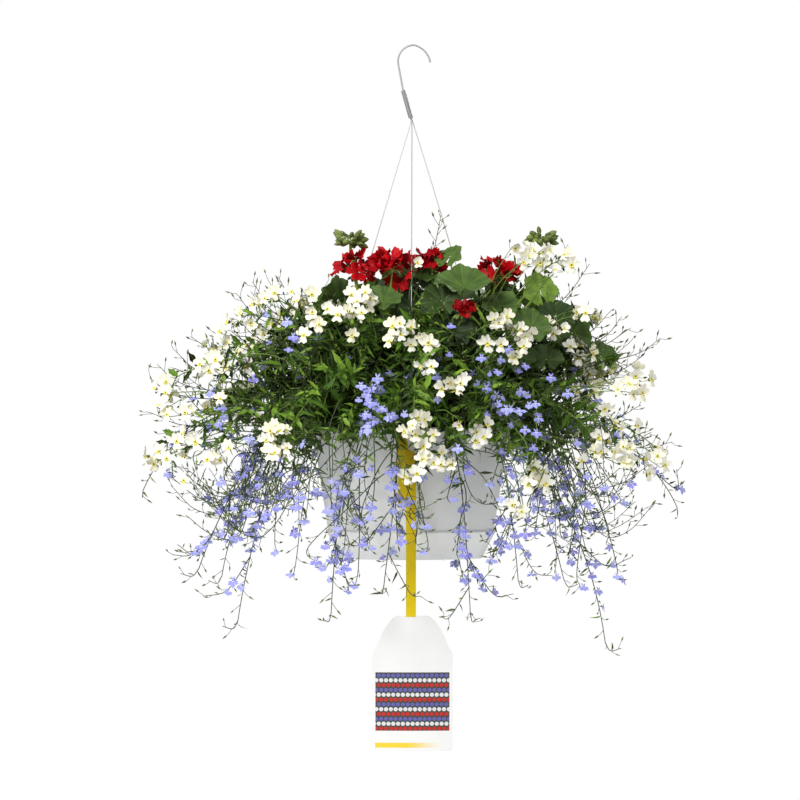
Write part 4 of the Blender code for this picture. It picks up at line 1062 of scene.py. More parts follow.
def geranium_floret(rng, opened):
    """Five broad ruffled red petals on a green stalk."""
    form = Form()
    plane = 0.0150
    whole = rng.uniform(0.10, 0.55)
    ruffled = {"roll": 0.3, "notch": 0.16, "narrow": 0.14, "wave": 0.0024, "point": 0.25}
    for i in range(5):
        angle = math.tau * i / 5 + rng.uniform(-0.22, 0.22)
        size = (0.0008, 0.0205 * rng.uniform(0.82, 1.10) * opened, rng.uniform(0.0070, 0.0092))
        cup = whole + rng.uniform(-0.25, 0.25) + (1 - opened)
        petal(form, (7, 6), size, angle, plane + 0.0004 * (i % 2), "geranium_petal", cup, **ruffled)
    stalk = ((0.0, 0.0006), (0.011, 0.0006), (0.0128, 0.0015), (plane + 0.0004, 0.0012))
    cone(form, stalk, 5, "geranium_stem")
    eye = ((plane - 0.001, 0.0009), (plane + 0.003, 0.0007), (plane + 0.0045, 0.0002))
    cone(form, eye, 4, "geranium_petal")
    return form.done()


def geranium_bud(radius):
    """A bud along +Z, on its stalk."""
    form = Form()
    stalk = 0.011
    length = 0.0130
    profile = ((0.12, radius * 0.74), (0.40, radius), (0.72, radius * 0.80), (0.92, radius * 0.34), (1, 0.0003))
    rings = [(stalk, 0.0006)] + [(stalk + length * share, wide) for share, wide in profile]
    cone(form, rings, 8, "geranium_bud")
    cone(form, ((0.0, 0.0005), (stalk + length * 0.1, 0.0006)), 5, "geranium_stem")
    return form.done()


def small_bud(length, radius, sides, look):
    """A small bud or pod along +Z, on its stalk."""
    form = Form()
    stalk = 0.003
    cone(form, ((stalk, 0.0004), (stalk + length * 0.35, radius), (stalk + length, 0.0002)), sides, look)
    cone(form, ((0.0, 0.0004), (stalk + length * 0.1, 0.0004)), 3, "lobelia_stem")
    return form.done()


def thick_sheet(form, places, local, thickness, look, back_look):
    """A closed sheet of some thickness from rows by columns of places, with a look of its own on its back."""
    normals = np.cross(np.gradient(places, axis=1), np.gradient(places, axis=0))
    normals /= np.sqrt((normals**2).sum(axis=-1))[..., None] + 1e-12
    top = places + normals * thickness / 2
    under = places - normals * thickness / 2

    def rim(grid):
        return np.concatenate((grid[0], grid[1:, -1], grid[-1, -2::-1], grid[-2:0:-1, 0]))

    form.sheet(top, local, look)
    form.sheet(under[:, ::-1], local[:, ::-1], back_look)
    form.sheet(np.stack((rim(under), rim(top))), np.stack((rim(local), rim(local))), back_look, closed=True)


def geranium_leaf(rng):
    """A round leaf of radius 1 in seven scalloped lobes, pleated along its veins, with a notch at its stalk."""
    share, turn = np.meshgrid(np.linspace(0.06, 1, 8), np.linspace(-1, 1, 71), indexing="ij")
    angle = turn * (math.pi - 0.16)
    lobes = 0.075 * np.cos(LEAF_LOBES * angle)
    scallops = 0.050 * np.abs(np.cos(LEAF_LOBES * 1.5 * angle)) - 0.02
    outline = 1 + (lobes + scallops) * share**2 - 0.14 * np.clip(np.abs(turn) - 0.72, 0, 1) / 0.28
    outline *= 1 + 0.06 * np.sin(angle + rng.uniform(0, math.tau))
    radius = share * outline
    phase = rng.uniform(0, math.tau)
    depth = rng.uniform(0.10, 0.32) * radius**1.6 - 0.055 * radius * np.cos(LEAF_LOBES * angle)
    depth += rng.uniform(0.04, 0.11) * radius**2 * np.sin(2 * angle + phase)
    depth += 0.07 * radius**3 * np.sin(3 * angle + phase) + 0.035 * radius**4 * np.sin(9 * angle + 2 * phase)
    x = radius * np.sin(angle)
    y = radius * np.cos(angle)
    places = np.stack((x, y, depth), axis=-1)
    local = np.stack((x, y, share), axis=-1)
    form = Form()
    thick_sheet(form, places, local, 0.022, "geranium_leaf", "geranium_leaf")
    return form.done()


def make_forms(rng):
    """Some of each leaf, flower and bud, which the plants pick from."""
    blades = {"nemesia_leaf": [], "lobelia_leaf": []}
    for size, bend in NEMESIA_BLADES:
        blades["nemesia_leaf"].append(blade(size, bend, 6, 0.20, 0.75, "nemesia_leaf"))
    for bend in LOBELIA_BENDS:
        blades["lobelia_leaf"].append(blade(LOBELIA_BLADE, bend, 4, 0.10, 0.85, "lobelia_leaf"))
    return blades | {
        "nemesia_flower": [nemesia_flower(rng, opened) for opened in (1, 1, 1, 1, 1, 0.88, 0.7)],
        "lobelia_flower": [lobelia_flower(rng, opened) for opened in (1, 1, 1, 1, 1, 0.8)],
        "floret": [geranium_floret(rng, opened) for opened in (1, 1, 1, 1, 1, 1, 0.85)],
        "geranium_leaf": [geranium_leaf(rng) for _ in range(6)],
        "geranium_bud": [geranium_bud(radius) for radius in (0.0037, 0.0043, 0.0033)],
        "bud": [small_bud(0.0075, 0.0016, 5, "pod"), small_bud(0.0090, 0.0014, 5, "pod")],
        "young_bud": [small_bud(0.0048, 0.0015, 4, "pod"), small_bud(0.0060, 0.0017, 4, "nemesia_leaf")],
    }


# What stems carry


def random_source(number):
    """A seeded source of its own for each maker."""
    return np.random.default_rng((SEED, number))


def pick(rng, kind):
    return FORMS[kind][int(rng.integers(len(FORMS[kind])))]


def scatter(piece, kind, turn, place, rng, smallest, largest, size=1.0):
    """One form of a kind, with a tint and size of its own."""
    piece.add(pick(rng, kind), turn, place, rng.uniform(0, 1), size * rng.uniform(smallest, largest))


def round_from(route, distance, angle):
    """A place on a stem, its heading there and the direction out from it at an angle."""
    place, heading = route.at(distance)
    side = square_to(heading)
    return place, heading, side * math.cos(angle) + cross(heading, side) * math.sin(angle)


def leaves_along(piece, route, kind, rng):
    """Leaves up a stem, smaller towards its tip and turned to the light: nemesia's in crossed pairs."""
    for form, first, last, gap, size in LEAVES[kind]:
        paired = form == "nemesia_leaf"
        distance = route.length * first
        turn = rng.uniform(0, math.tau)
        while distance < route.length * last:
            share = distance / route.length
            grown = size * min(1.0, 1.45 - 0.6 * share)
            for half in (0, math.pi) if paired else (0,):
                place, heading, out = round_from(route, distance, turn + half + rng.normal(0, 0.2))
                direction = out + heading * 0.6 + rng.normal(0, 0.2, 3) + UP * 0.1
                normal = UP * 0.8 + outward(place) * 0.6 + heading * 0.3 + rng.normal(0, 0.35, 3)
                scatter(piece, form, lying(direction, normal), place, rng, 0.6, 1.15, grown)
            turn += math.pi / 2 if paired else GOLDEN_ANGLE
            distance += gap * rng.uniform(0.75, 1.25)


def grow(piece, route, kind, rng):
    """A stem of its kind with its leaves."""
    piece.stem(route.points, *STEMS[kind], rng.uniform(0, 1))
    leaves_along(piece, route, kind, rng)


def twigs(piece, route, kind, rng):
    """Thin side stalks that end in a bud or pod."""
    bud, first, last, gap, reach = TWIGS[kind]
    look = "lobelia_stem" if bud == "bud" else "nemesia_stem"
    distance = route.length * first
    turn = rng.uniform(0, math.tau)
    while distance < route.length * last:
        place, heading, out = round_from(route, distance, turn)
        length = reach * rng.uniform(0.5, 1.3)
        end = place + (out * 0.8 + heading * 0.7) * length
        piece.stem((place, end), *TWIG, look, rng.uniform(0, 1))
        aim = facing(end - place + rng.normal(0, 0.3, 3) * length + UP * length * 0.4)
        scatter(piece, bud, aim, end, rng, 0.8, 1.15)
        turn += GOLDEN_ANGLE
        distance += gap * rng.uniform(0.7, 1.3)


def light_side(place):
    """Where a flower turns: away from the pot and to the nearer of front and back."""
    return unit(outward(place) + np.array((0, -1.1 if place[1] < 0.02 else 0.9, 0.2)))


def head_of(piece, route, rng, count, buds):
    """Flowers on short stalks round the end of a stem, looking out and to the light, with buds at its tip."""
    toward = light_side(route.points[-1])
    for i in range(count):
        distance = max(route.length - 0.004 - HEAD_LENGTH * i / count, 0)
        place, heading, out = round_from(route, distance, GOLDEN_ANGLE * i + rng.uniform(-0.4, 0.4))
        base = place + unit(out + heading * 0.7 + toward * 0.3) * rng.uniform(0.005, 0.013)
        piece.stem((place, base), *TWIG, "nemesia_stem", rng.uniform(0, 1))
        look = out * 0.7 + toward * 0.8 + heading * 0.1 + rng.normal(0, 0.25, 3)
        scatter(piece, "nemesia_flower", facing(look), base, rng, 0.95, 1.3)
    tip, heading = route.at(route.length)
    for i in range(buds):
        aim = facing(heading + rng.normal(0, 0.55, 3))
        piece.add(pick(rng, "young_bud"), aim, tip - heading * 0.002 * i, rng.uniform(0, 1), 1.1)


def lobelia_flowers(piece, route, rng, first, last, count):
    """Single flowers up a stem, between two shares of its length."""
    for i in range(count):
        share = first + (last - first) * (i + rng.uniform(0.1, 0.9)) / count
        place, heading, out = round_from(route, route.length * share, rng.uniform(0, math.tau))
        look = out * 0.7 + light_side(place) * 0.8 + heading * 0.2 + rng.normal(0, 0.2, 3)
        scatter(piece, "lobelia_flower", facing(look), place, rng, 0.95, 1.35)


def free_root(roots, ring, azimuth):
    """The nearest free place on a ring of roots."""
    for step in range(0, 60, 3):
        for side in (1, -1):
            place = around(ring, azimuth + side * step, MIX_Z)
            if all(np.sqrt(((place - other) ** 2).sum()) > ROOT_GAP for other in roots):
                roots.append(place)
                return place
    return around(ring, azimuth, MIX_Z)


def azimuth_of(place):
    return math.degrees(math.atan2(place[1], place[0] - POT_X))


def on_ball(i, count, lowest):
    """The direction of one of count points spread over a ball, from near its top down to a height."""
    height = 0.95 - (0.95 - lowest) * (i + 0.5) / count
    ring = math.sqrt(1 - height * height)
    return np.array((ring * math.cos(GOLDEN_ANGLE * i), ring * math.sin(GOLDEN_ANGLE * i), height))


# Named plants


def make_geraniums(roots, rng):
    """Each stem forks into flower heads, bud heads and leaves on their stalks."""
    for index, (plan, lower) in enumerate(zip(GERANIUM_STEMS, LOWER_LEAVES), 1):
        azimuth, fork_place, leaves, heads, bud_heads = plan
        piece = Piece()
        root = around(GERANIUM_RING, azimuth, MIX_Z)
        roots.append(root)
        start = at_height(root, MIX_Z + STEM_START)
        fork = rim_point(*fork_place)
        lift = UP * (fork[2] - MIX_Z) * 0.5
        trunk = rooted(root, bezier(start, start + lift * 0.7, fork - lift * 0.6, fork, 14))
        piece.stem(trunk.points, GERANIUM_STEM, GERANIUM_STEM * 0.8, 9, "geranium_stem", 0.3)
        for number, place in enumerate(heads, 1):
            label = f"{index}_{number}"
            centre = rim_point(*place)
            direction = unit(unit(centre - fork) + UP)
            end = centre - direction * (BLOOMS[label][-1] + PETIOLE_END)
            stalk = bezier(fork, fork + (end - fork) * 0.3 + UP * 0.01, end - direction * 0.03, end, 10)
            piece.stem(stalk, PETIOLE * 1.3, PETIOLE, 7, "geranium_stem", 0.8)
            make_bloom(label, centre, direction)
        for place in bud_heads:
            make_bud_head(piece, fork, rim_point(*place), rng)
        for number, place in enumerate(leaves + lower):
            along = 0.35 + 0.6 * (number % len(leaves)) / len(leaves)
            begin = trunk.at(trunk.length * along)[0]
            make_geranium_leaf(piece, begin, place, (index, number), number < len(leaves), rng)
        piece.finish(f"geranium_foliage_{index}", "geranium_leaf", (f"geranium_stem_{index}",))


def make_bud_head(piece, fork, centre, rng):
    """A thick stalk with a ball of green buds."""
    stalk = bezier(fork, fork + (centre - fork) * 0.4 - UP * 0.02, centre - UP * 0.06, centre, 12)
    piece.stem(stalk, PETIOLE * 1.9, PETIOLE * 1.5, 8, "geranium_stem", 1.0)
    for i in range(BUDS_IN_HEAD):
        aim = facing(on_ball(i, BUDS_IN_HEAD, -0.45) * (1.2, 1.2, 0.55) + rng.normal(0, 0.2, 3))
        piece.add(pick(rng, "geranium_bud"), aim, centre, rng.uniform(0.1, 1), rng.uniform(0.85, 1.25))


def make_geranium_leaf(piece, begin, place, key, upper, rng):
    """A leaf on its stalk, turned up, out and to the front, or as the table of tilts says."""
    centre = rim_point(*place[:3])
    away = outward(centre)
    toward = np.array((0, -0.35, 0)) if centre[1] < 0 else away * 0.3
    normal = UP * (0.8 if upper else 0.5) + away * 0.3 + toward + rng.normal(0, 0.2, 3)
    # Painted shade: the lower leaves, under the upper ones, get darker tints
    tint = rng.uniform(0.35, 0.72) if upper else rng.uniform(0.0, 0.3)
    if key in LEAF_TILTS:
        *normal, tint = LEAF_TILTS[key]
    normal = unit(np.array(normal))
    stalk = bezier(begin, begin + (centre - begin) * 0.35 + UP * 0.02, centre - normal * 0.03, centre, 9)
    piece.stem(stalk, PETIOLE, PETIOLE * 0.8, 6, "geranium_stem", 0.7)
    turn = lying(UP - normal * normal[2] + rng.normal(0, 0.15, 3), normal)
    piece.add(pick(rng, "geranium_leaf"), turn, centre, tint, place[3])


def make_bloom(label, centre, direction):
    """A loose head of red florets on thin stalks, with a few buds under them."""
    count, lowest, painted_shade, grown, loose, drop = BLOOMS[label]
    rng = random_source(20 + list(BLOOMS).index(label))
    centre = centre - direction * drop
    piece = Piece()
    hub = Form()
    cone(hub, ((-0.006, 0.0012), (-0.003, 0.0024), (0.001, 0.0022), (0.003, 0.0006)), 7, "geranium_stem")
    turn = facing(direction)
    piece.add(hub.done(), turn, centre, 0.8)
    for i in range(count):
        out = on_ball(i, count, lowest)
        ring = math.sqrt(1 - out[2] * out[2])
        out = unit(turn @ out * (1.25, 1.0, 0.85) + rng.normal(0, 0.22, 3))
        size = grown * rng.uniform(0.88, 1.18) * (0.92 + 0.16 * ring)
        start = centre + out * rng.uniform(0.2, 1.0) * loose
        piece.stem((centre, start), 0.0006, 0.0006, 4, "geranium_stem", 0.6)
        aim = facing(out + direction * 0.45 + rng.normal(0, 0.35, 3), direction)
        # Painted shade: the bloom's share darkens the petals of heads that sit under or behind leaves
        piece.add(pick(rng, "floret"), aim, start, min(rng.uniform(0, 1) * 0.8 + painted_shade, 1), size)
    for i in range(BUDS_UNDER_BLOOM):
        out = turn @ np.array((math.cos(i * 1.9), math.sin(i * 1.9), -0.3 - 0.1 * i))
        scatter(piece, "geranium_bud", facing(out), centre, rng, 0.6, 0.85)
    piece.finish(f"geranium_bloom_{label}", "geranium_petal", (f"geranium_head_{label}",))


def make_nemesias(roots, rng):
    """Sprays that fork to their flower heads, and one bare stem with pods that stands highest."""
    bare_root = free_root(roots, GERANIUM_RING * 0.3, 60)
    for index, heads in enumerate(NEMESIA_SPRAYS, 1):
        foliage = Piece()
        bloom = Piece()
        first = rim_point(*heads[0][:3])
        root = free_root(roots, NEMESIA_RING, azimuth_of(first))
        rise = max(0.10, (first[2] - MIX_Z) * 0.55)
        lift = 0.03 if heads[0][2] > 0.1 else 0.09
        main_line = arching(root, first, rise, lift, 24, np.array(NEMESIA_SWAYS.get(index, NO_SWAY)))
        routes = [rooted(root, main_line)]
        fork = Route(main_line).at(Route(main_line).length * 0.55)[0]
        for place in heads[1:]:
            tip = rim_point(*place[:3])
            routes.append(Route(bezier(fork, fork + (tip - fork) * 0.4 + UP * 0.02, tip + UP * 0.03, tip, 14)))
        for number, (route, head) in enumerate(zip(routes, heads)):
            grow(foliage, route, "fork" if number else "spray", rng)
            head_of(bloom, route, rng, head[3], 5)
            twigs(foliage, route, "spray", rng)
        foliage.finish(f"nemesia_foliage_{index}", "foliage", (f"nemesia_spray_{index}",))
        bloom.finish(f"nemesia_bloom_{index}", "nemesia_petal", (f"nemesia_spray_{index}",))
    bare = Piece()
    sway = np.array(NEMESIA_SWAYS[BARE_NUMBER])
    route = rooted(bare_root, arching(bare_root, rim_point(*BARE_SPRAY), 0.2, -0.05, 20, sway))
    bare.stem(route.points, *STEMS["bare"], 0.3)
    twigs(bare, route, "bare", rng)
    leaves_along(bare, route, "bare", rng)
    bare.finish(f"nemesia_foliage_{BARE_NUMBER}", "foliage", (f"nemesia_spray_{BARE_NUMBER}",))


def drawn_in(place):
    """The place, moved in where it passes the CAD model's sides."""
    return np.clip(place, cad_low, cad_high)


def trail(foliage, bloom, route, rng):
    """A trailing lobelia stem with its leaves, side stems, flowers and pods, and a curled tip."""
    grow(foliage, route, "trail", rng)
    twigs(foliage, route, "trail", rng)
    tip, heading = route.at(route.length)
    away = outward(tip)
    ends = [(tip, tip + heading * 0.012 + away * 0.006, tip + heading * 0.016 + away * 0.022 + UP * 0.008)]
    for _ in range(LOBELIA_BRANCHES):
        place, heading, out = round_from(route, route.length * rng.uniform(0.4, 0.9), rng.uniform(0, math.tau))
        reach = rng.uniform(0.03, 0.06)
        bend = place + out * reach * 0.7 + heading * reach * 0.5 - UP * reach * 0.5
        ends.append((place, bend, bend + (out + away) * reach * 0.4 + UP * reach * rng.uniform(-0.3, 0.35)))
    for number, places in enumerate(ends):
        side = Route(through((places[0], drawn_in(places[1]), drawn_in(places[2])), 5))
        grow(foliage, side, "side", rng)
        twigs(foliage, side, "side", rng)
        if number and rng.uniform(0, 1) < 0.75:
            lobelia_flowers(bloom, side, rng, 0.3, 0.8, 2)
    lobelia_flowers(bloom, route, rng, 0.40, 0.88, LOBELIA_FLOWERS)


def make_lobelias(roots, rng):
    for index, (end, rise) in enumerate(zip(LOBELIA_ENDS, LOBELIA_RISES), 1):
        foliage = Piece()
        bloom = Piece()
        tip = rim_point(*end)
        root = free_root(roots, LOBELIA_RING, azimuth_of(tip))
        lift = 0.10 + 0.35 * max(RIM_Z - tip[2], 0)
        line = arching(root, tip, rise / 1000, lift, 32, np.array(LOBELIA_SWAYS.get(index, NO_SWAY)))
        trail(foliage, bloom, rooted(root, wander(line, rng, 0.0070)), rng)
        foliage.finish(f"lobelia_foliage_{index}", "foliage", (f"lobelia_spray_{index}",))
        bloom.finish(f"lobelia_bloom_{index}", "lobelia_petal", (f"lobelia_spray_{index}",))


# The mound between them


class Sectors:
    """The same four pieces for each sector round the pot: leafy stems, fine stems, white and blue flowers."""

    def __init__(self, count):
        self.count = count
        self.pieces = {kind: [Piece() for _ in range(count)] for kind in SECTOR_PIECES}

    def at(self, kind, azimuth):
        return self.pieces[kind][int(azimuth % 360 / 360 * self.count)]

    def finish(self):
        for kind, (name, slot) in SECTOR_PIECES.items():
            for i, piece in enumerate(self.pieces[kind], 1):
                piece.finish(f"{name}_{i}", slot)


def spiral(i, start=0):
    """The azimuth of a stem, a golden angle on from the one before."""
    return (math.degrees(GOLDEN_ANGLE) * i + start) % 360


def ring_point(radius, azimuth, z, depth=1.0):
    """A place round the pot on a ring that may be less deep than wide."""
    turn = math.radians(azimuth)
    return rim_point(radius * math.cos(turn), radius * depth * math.sin(turn), z)


def mound_place(azimuth, climb, share=1.0):
    """A place on the mound of foliage: climb is 0 at its foot and 1 at its top."""
    turn = math.radians(azimuth)
    angle = climb * math.pi / 2
    radius = share * math.cos(angle) ** (2 / MOUND_SQUARE)
    height = MOUND_FOOT + share * MOUND_HEIGHT * math.sin(angle) ** (2 / MOUND_SQUARE)
    return rim_point(MOUND_X * radius * math.cos(turn), MOUND_Y * radius * math.sin(turn), height)


def make_leafy_stems(sectors, rng):
    """Upright and arching stems all over the mound, some with buds and, off its front, with white flowers."""
    for i in range(LEAFY_STEMS):
        azimuth = spiral(i)
        climb = rng.uniform(0.0, 0.92)
        tip = mound_place(azimuth, climb, rng.uniform(0.62, 1.0) if i % 3 else rng.uniform(0.9, 1.06))
        root = around(rng.uniform(0.02, 0.125), azimuth + rng.uniform(-25, 25), MIX_Z)
        rise = 0.05 + 0.25 * max(tip[2] - MIX_Z, 0)
        route = Route(wander(arching(root, tip, rise, 0.045, 16), rng, 0.006))
        piece = sectors.at("leafy", azimuth)
        grow(piece, route, "leafy", rng)
        if i % 5 == 0:
            twigs(piece, route, "leafy", rng)
        if i % 3 == 0 and abs(azimuth - 270) > 65:
            head_of(sectors.at("white", azimuth), route, rng, 4, 4)


def make_low_stems(sectors, rng):
    """Short leafy stems over the pot's rim."""
    for i in range(LOW_STEMS):
        azimuth = spiral(i, 10)
        tip = ring_point(rng.uniform(0.165, 0.245), azimuth, rng.uniform(-0.050, 0.005))
        root = around(rng.uniform(0.10, 0.13), azimuth + rng.uniform(-20, 20), MIX_Z)
        route = Route(wander(arching(root, tip, 0.05, 0.055, 14), rng, 0.005))
        grow(sectors.at("leafy", azimuth), route, "low", rng)


def make_fine_stems(sectors, rng):
    """Fine stems with small leaves between the others, kept short in front, some with blue flowers."""
    for i in range(FINE_STEMS):
        azimuth = spiral(i, 60)
        in_front = abs(azimuth - 275) < 38
        reach = rng.uniform(0.16, 0.24) if in_front else rng.uniform(0.18, 0.33)
        height = rng.uniform(-0.02 if in_front else -0.11, 0.14) * (1.15 - reach)
        tip = ring_point(reach, azimuth, height, 0.92)
        root = around(rng.uniform(0.06, 0.13), azimuth + rng.uniform(-15, 15), MIX_Z)
        line = arching(root, tip, rng.uniform(0.05, 0.12), rng.uniform(0.05, 0.13), 18)
        route = Route(wander(line, rng, 0.006))
        piece = sectors.at("fine", azimuth)
        grow(piece, route, "fine", rng)
        twigs(piece, route, "fine", rng)
        if i % 4 == 0 or azimuth < 180 or (height < -0.03 and not in_front):
            lobelia_flowers(sectors.at("blue", azimuth), route, rng, 0.5, 1.0, 2)


def make_curls(sectors, rng):
    """Trailing stems that hang past the rim and turn up again at their ends, with pods."""
    for i in range(CURLED_STEMS):
        azimuth = spiral(i, 20)
        if i % 3 == 0:
            azimuth = (180 if i % 4 else 0) + rng.uniform(-38, 38)
        low = rng.uniform(-0.165, -0.085)
        reach = rng.uniform(0.90, 1.0)
        turns = azimuth + np.cumsum(rng.normal(0, 4, 7))
        plan = ((0.12, -0.012), (0.165, 0.045), (0.225, 0.02), (0.262, low * 0.6), (0.290, low))
        plan += ((0.330, low + 0.004), (0.372, low + rng.uniform(0.03, 0.06)))
        line = [ring_point(radius * reach, turned, z, 0.93) for (radius, z), turned in zip(plan, turns)]
        route = Route(through(line, 6))
        piece = sectors.at("fine", azimuth)
        grow(piece, route, "curl", rng)
        twigs(piece, route, "curl", rng)
        lobelia_flowers(sectors.at("blue", azimuth), route, rng, 0.5, 0.85, 2)


def make_wisps(sectors, rng):
    """Bare flowering ends that stand up and out of the mound, with pods."""
    for i in range(len(FRONT_WISPS) + WISPS):
        if i < len(FRONT_WISPS):
            x, z = FRONT_WISPS[i]
            tip = seen(x, z, rng.uniform(-0.12, 0.04))
            azimuth = azimuth_of(tip)
        else:
            azimuth = spiral(i)
            tip = mound_place(azimuth, rng.uniform(0.05, 0.7), rng.uniform(1.10, 1.22))
        middle = rim_point(0, 0, 0) * 0.45 + tip * 0.55 + UP * rng.uniform(-0.005, 0.01)
        before = middle * 0.3 + tip * 0.7 - UP * 0.006
        line = through((around(0.1, azimuth, MIX_Z), middle, before, tip + UP * 0.012), 8)
        route = Route(wander(line, rng, 0.004))
        piece = sectors.at("fine", azimuth)
        grow(piece, route, "wisp", rng)
        twigs(piece, route, "wisp", rng)


def front_depth(x, z, rng):
    """How far in front a flower of the front stands, so that it lies on the mound or on what hangs from it."""
    sideways = min(abs(x) / 420, 1)
    drop = max(-z - 40, 0) / 1000
    on_mound = -0.285 * math.sqrt(1 - sideways**2) * (1 - 0.35 * max(z, 0) / 260)
    return on_mound + drop * 0.25 + rng.uniform(-0.012, 0.012)


def stand_out(x, z, kind, sectors, rng):
    """A flower or two of the front, on stalks from inside the mound, with buds."""
    white = kind == "white"
    place = seen(x, z, front_depth(x, z, rng))
    look = unit(light_side(place) + rng.normal(0, 0.32, 3))
    back = place - look * 0.009
    rest = rim_point(0, 0, 0.03) - place
    if z > HANGING_Z:
        begin = place + rest * 0.3 + rng.normal(0, 0.012, 3)
        line = through((begin, (begin + back) / 2 + UP * 0.008, back), 7)
        line = Route(wander(line, rng, 0.0025))
    else:
        begin = place + rest * 0.22 + rng.normal(0, 0.026, 3)
        begin = begin + UP * (-z / 1000 * 0.55)
        middle = begin * 0.6 + back * 0.4 + unit(-rest) * 0.02 + UP * 0.02
        line = Route(wander(through((begin, middle, back + UP * 0.02, back), 7), rng, 0.0060))
    azimuth = azimuth_of(place)
    stems = sectors.at("leafy" if white else "fine", azimuth)
    stems.stem(line.points, *STEMS[kind], rng.uniform(0, 1))
    flower = "nemesia_flower" if white else "lobelia_flower"
    petals = sectors.at(kind, azimuth)
    scatter(petals, flower, facing(look), back, rng, 0.9, 1.25)
    if rng.uniform(0, 1) < 0.3:
        place, _, out = round_from(line, line.length - 0.006, rng.uniform(0, math.tau))
        scatter(petals, flower, facing(look * 0.6 + out * 0.8), place, rng, 0.8, 1.12)
    if not white:
        leaves_along(stems, line, "blue" if z > HANGING_Z else "hanging", rng)
    twigs(stems, line, kind, rng)


def make_mound(rng):
    """The stems and flowers between the named sprays, which close the mound all round the pot."""
    sectors = Sectors(MOUND_SECTORS)
    make_leafy_stems(sectors, rng)
    make_low_stems(sectors, rng)
    make_fine_stems(sectors, rng)
    make_curls(sectors, rng)
    make_wisps(sectors, rng)
    for kind, places in (("white", FRONT_WHITE), ("blue", FRONT_BLUE)):
        for x, z in places:
            stand_out(x, z, kind, sectors, rng)
    sectors.finish()


# Pot and mix


def lathe(profile, steps):
    """A profile of (radius, z) turned about the pot's axis, as rows by columns of places."""
    angles = math.tau * np.arange(steps) / steps
    radii = np.array([max(radius, 0.0002) for radius, _ in profile])[:, None]
    heights = np.array([z for _, z in profile])[:, None]
    x = POT_X + radii * np.cos(angles)[None]
    return np.stack((x, radii * np.sin(angles)[None], np.broadcast_to(heights, x.shape)), axis=-1)


def rounded(profile, reach, steps=4):
    """The profile with each inner corner rounded off."""
    points = [np.array(point, float) for point in profile]
    made = [points[0]]
    for before, corner, after in zip(points, points[1:], points[2:]):
        one = before - corner
        two = after - corner
        size = min(reach, 0.45 * np.hypot(*one), 0.45 * np.hypot(*two))
        a = corner + one / np.hypot(*one) * size
        b = corner + two / np.hypot(*two) * size
        for i in range(steps + 1):
            t = i / steps
            made.append(a * (1 - t) ** 2 + corner * (2 * t * (1 - t)) + b * t * t)
    made.append(points[-1])
    return [tuple(point) for point in made]


def turned_piece(name, profile, rounding, replaces):
    """A piece of the pot's plastic, turned about its axis."""
    places = lathe(rounded(profile, rounding), POT_STEPS)
    form = Form().sheet(places, np.zeros_like(places), "pot_plastic", closed=True).done()
    return hard_piece(name, form, 40, replaces)


def make_pot():
    """The tapering pot with its floor, its flat rim and the skirt under the rim's edge."""
    floor = POT_BASE_Z + WALL
    skirt_inner = RIM_RADIUS - RIM_SKIRT_THICKNESS
    under_rim = RIM_Z - RIM_THICKNESS
    profile = (
        (0, floor),
        (POT_BASE_RADIUS - WALL, floor),
        (SEAM_RADIUS - WALL, SEAM_Z),
        (WALL_TOP_RADIUS - WALL, RIM_Z),
        (RIM_RADIUS, RIM_Z),
        (RIM_RADIUS, RIM_Z - RIM_SKIRT),
        (skirt_inner, RIM_Z - RIM_SKIRT),
        (skirt_inner, under_rim),
        (WALL_TOP_RADIUS, under_rim),
        (SEAM_RADIUS - SEAM_INSET, SEAM_Z - SEAM_DROP),
        (POT_BASE_RADIUS, POT_BASE_Z),
        (0, POT_BASE_Z),
    )
    turned_piece("pot_body", profile, POT_ROUNDING, ("pot",))


def make_saucer():
    """The saucer round the pot's foot, with its lip under the seam and the ring that it stands on."""
    floor = SAUCER_BASE_Z + SAUCER_WALL
    lip_top, lip_low, lip_foot = [SEAM_Z - drop for drop in SAUCER_LIP_DROPS]
    ring_outer, ring_inner = [SAUCER_BASE_RADIUS - inset for inset in SAUCER_RING]
    profile = (
        (0, floor),
        (SAUCER_BASE_RADIUS - SAUCER_WALL, floor),
        (SAUCER_RADIUS - SAUCER_WALL * 1.1, SEAM_Z),
        (SAUCER_RADIUS - SAUCER_LIP_TOP, SEAM_Z),
        (SAUCER_RADIUS + SAUCER_LIP, lip_top),
        (SAUCER_RADIUS + SAUCER_LIP, lip_low),
        (SAUCER_RADIUS - SAUCER_LIP_FOOT, lip_foot),
        (SAUCER_BASE_RADIUS, SAUCER_BASE_Z),
        (ring_outer, SAUCER_BASE_Z),
        (ring_inner, SAUCER_BASE_Z + SAUCER_RING_HEIGHT),
        (0, SAUCER_BASE_Z + SAUCER_RING_HEIGHT),
    )
    turned_piece("saucer_body", profile, SAUCER_ROUNDING, ("saucer",))


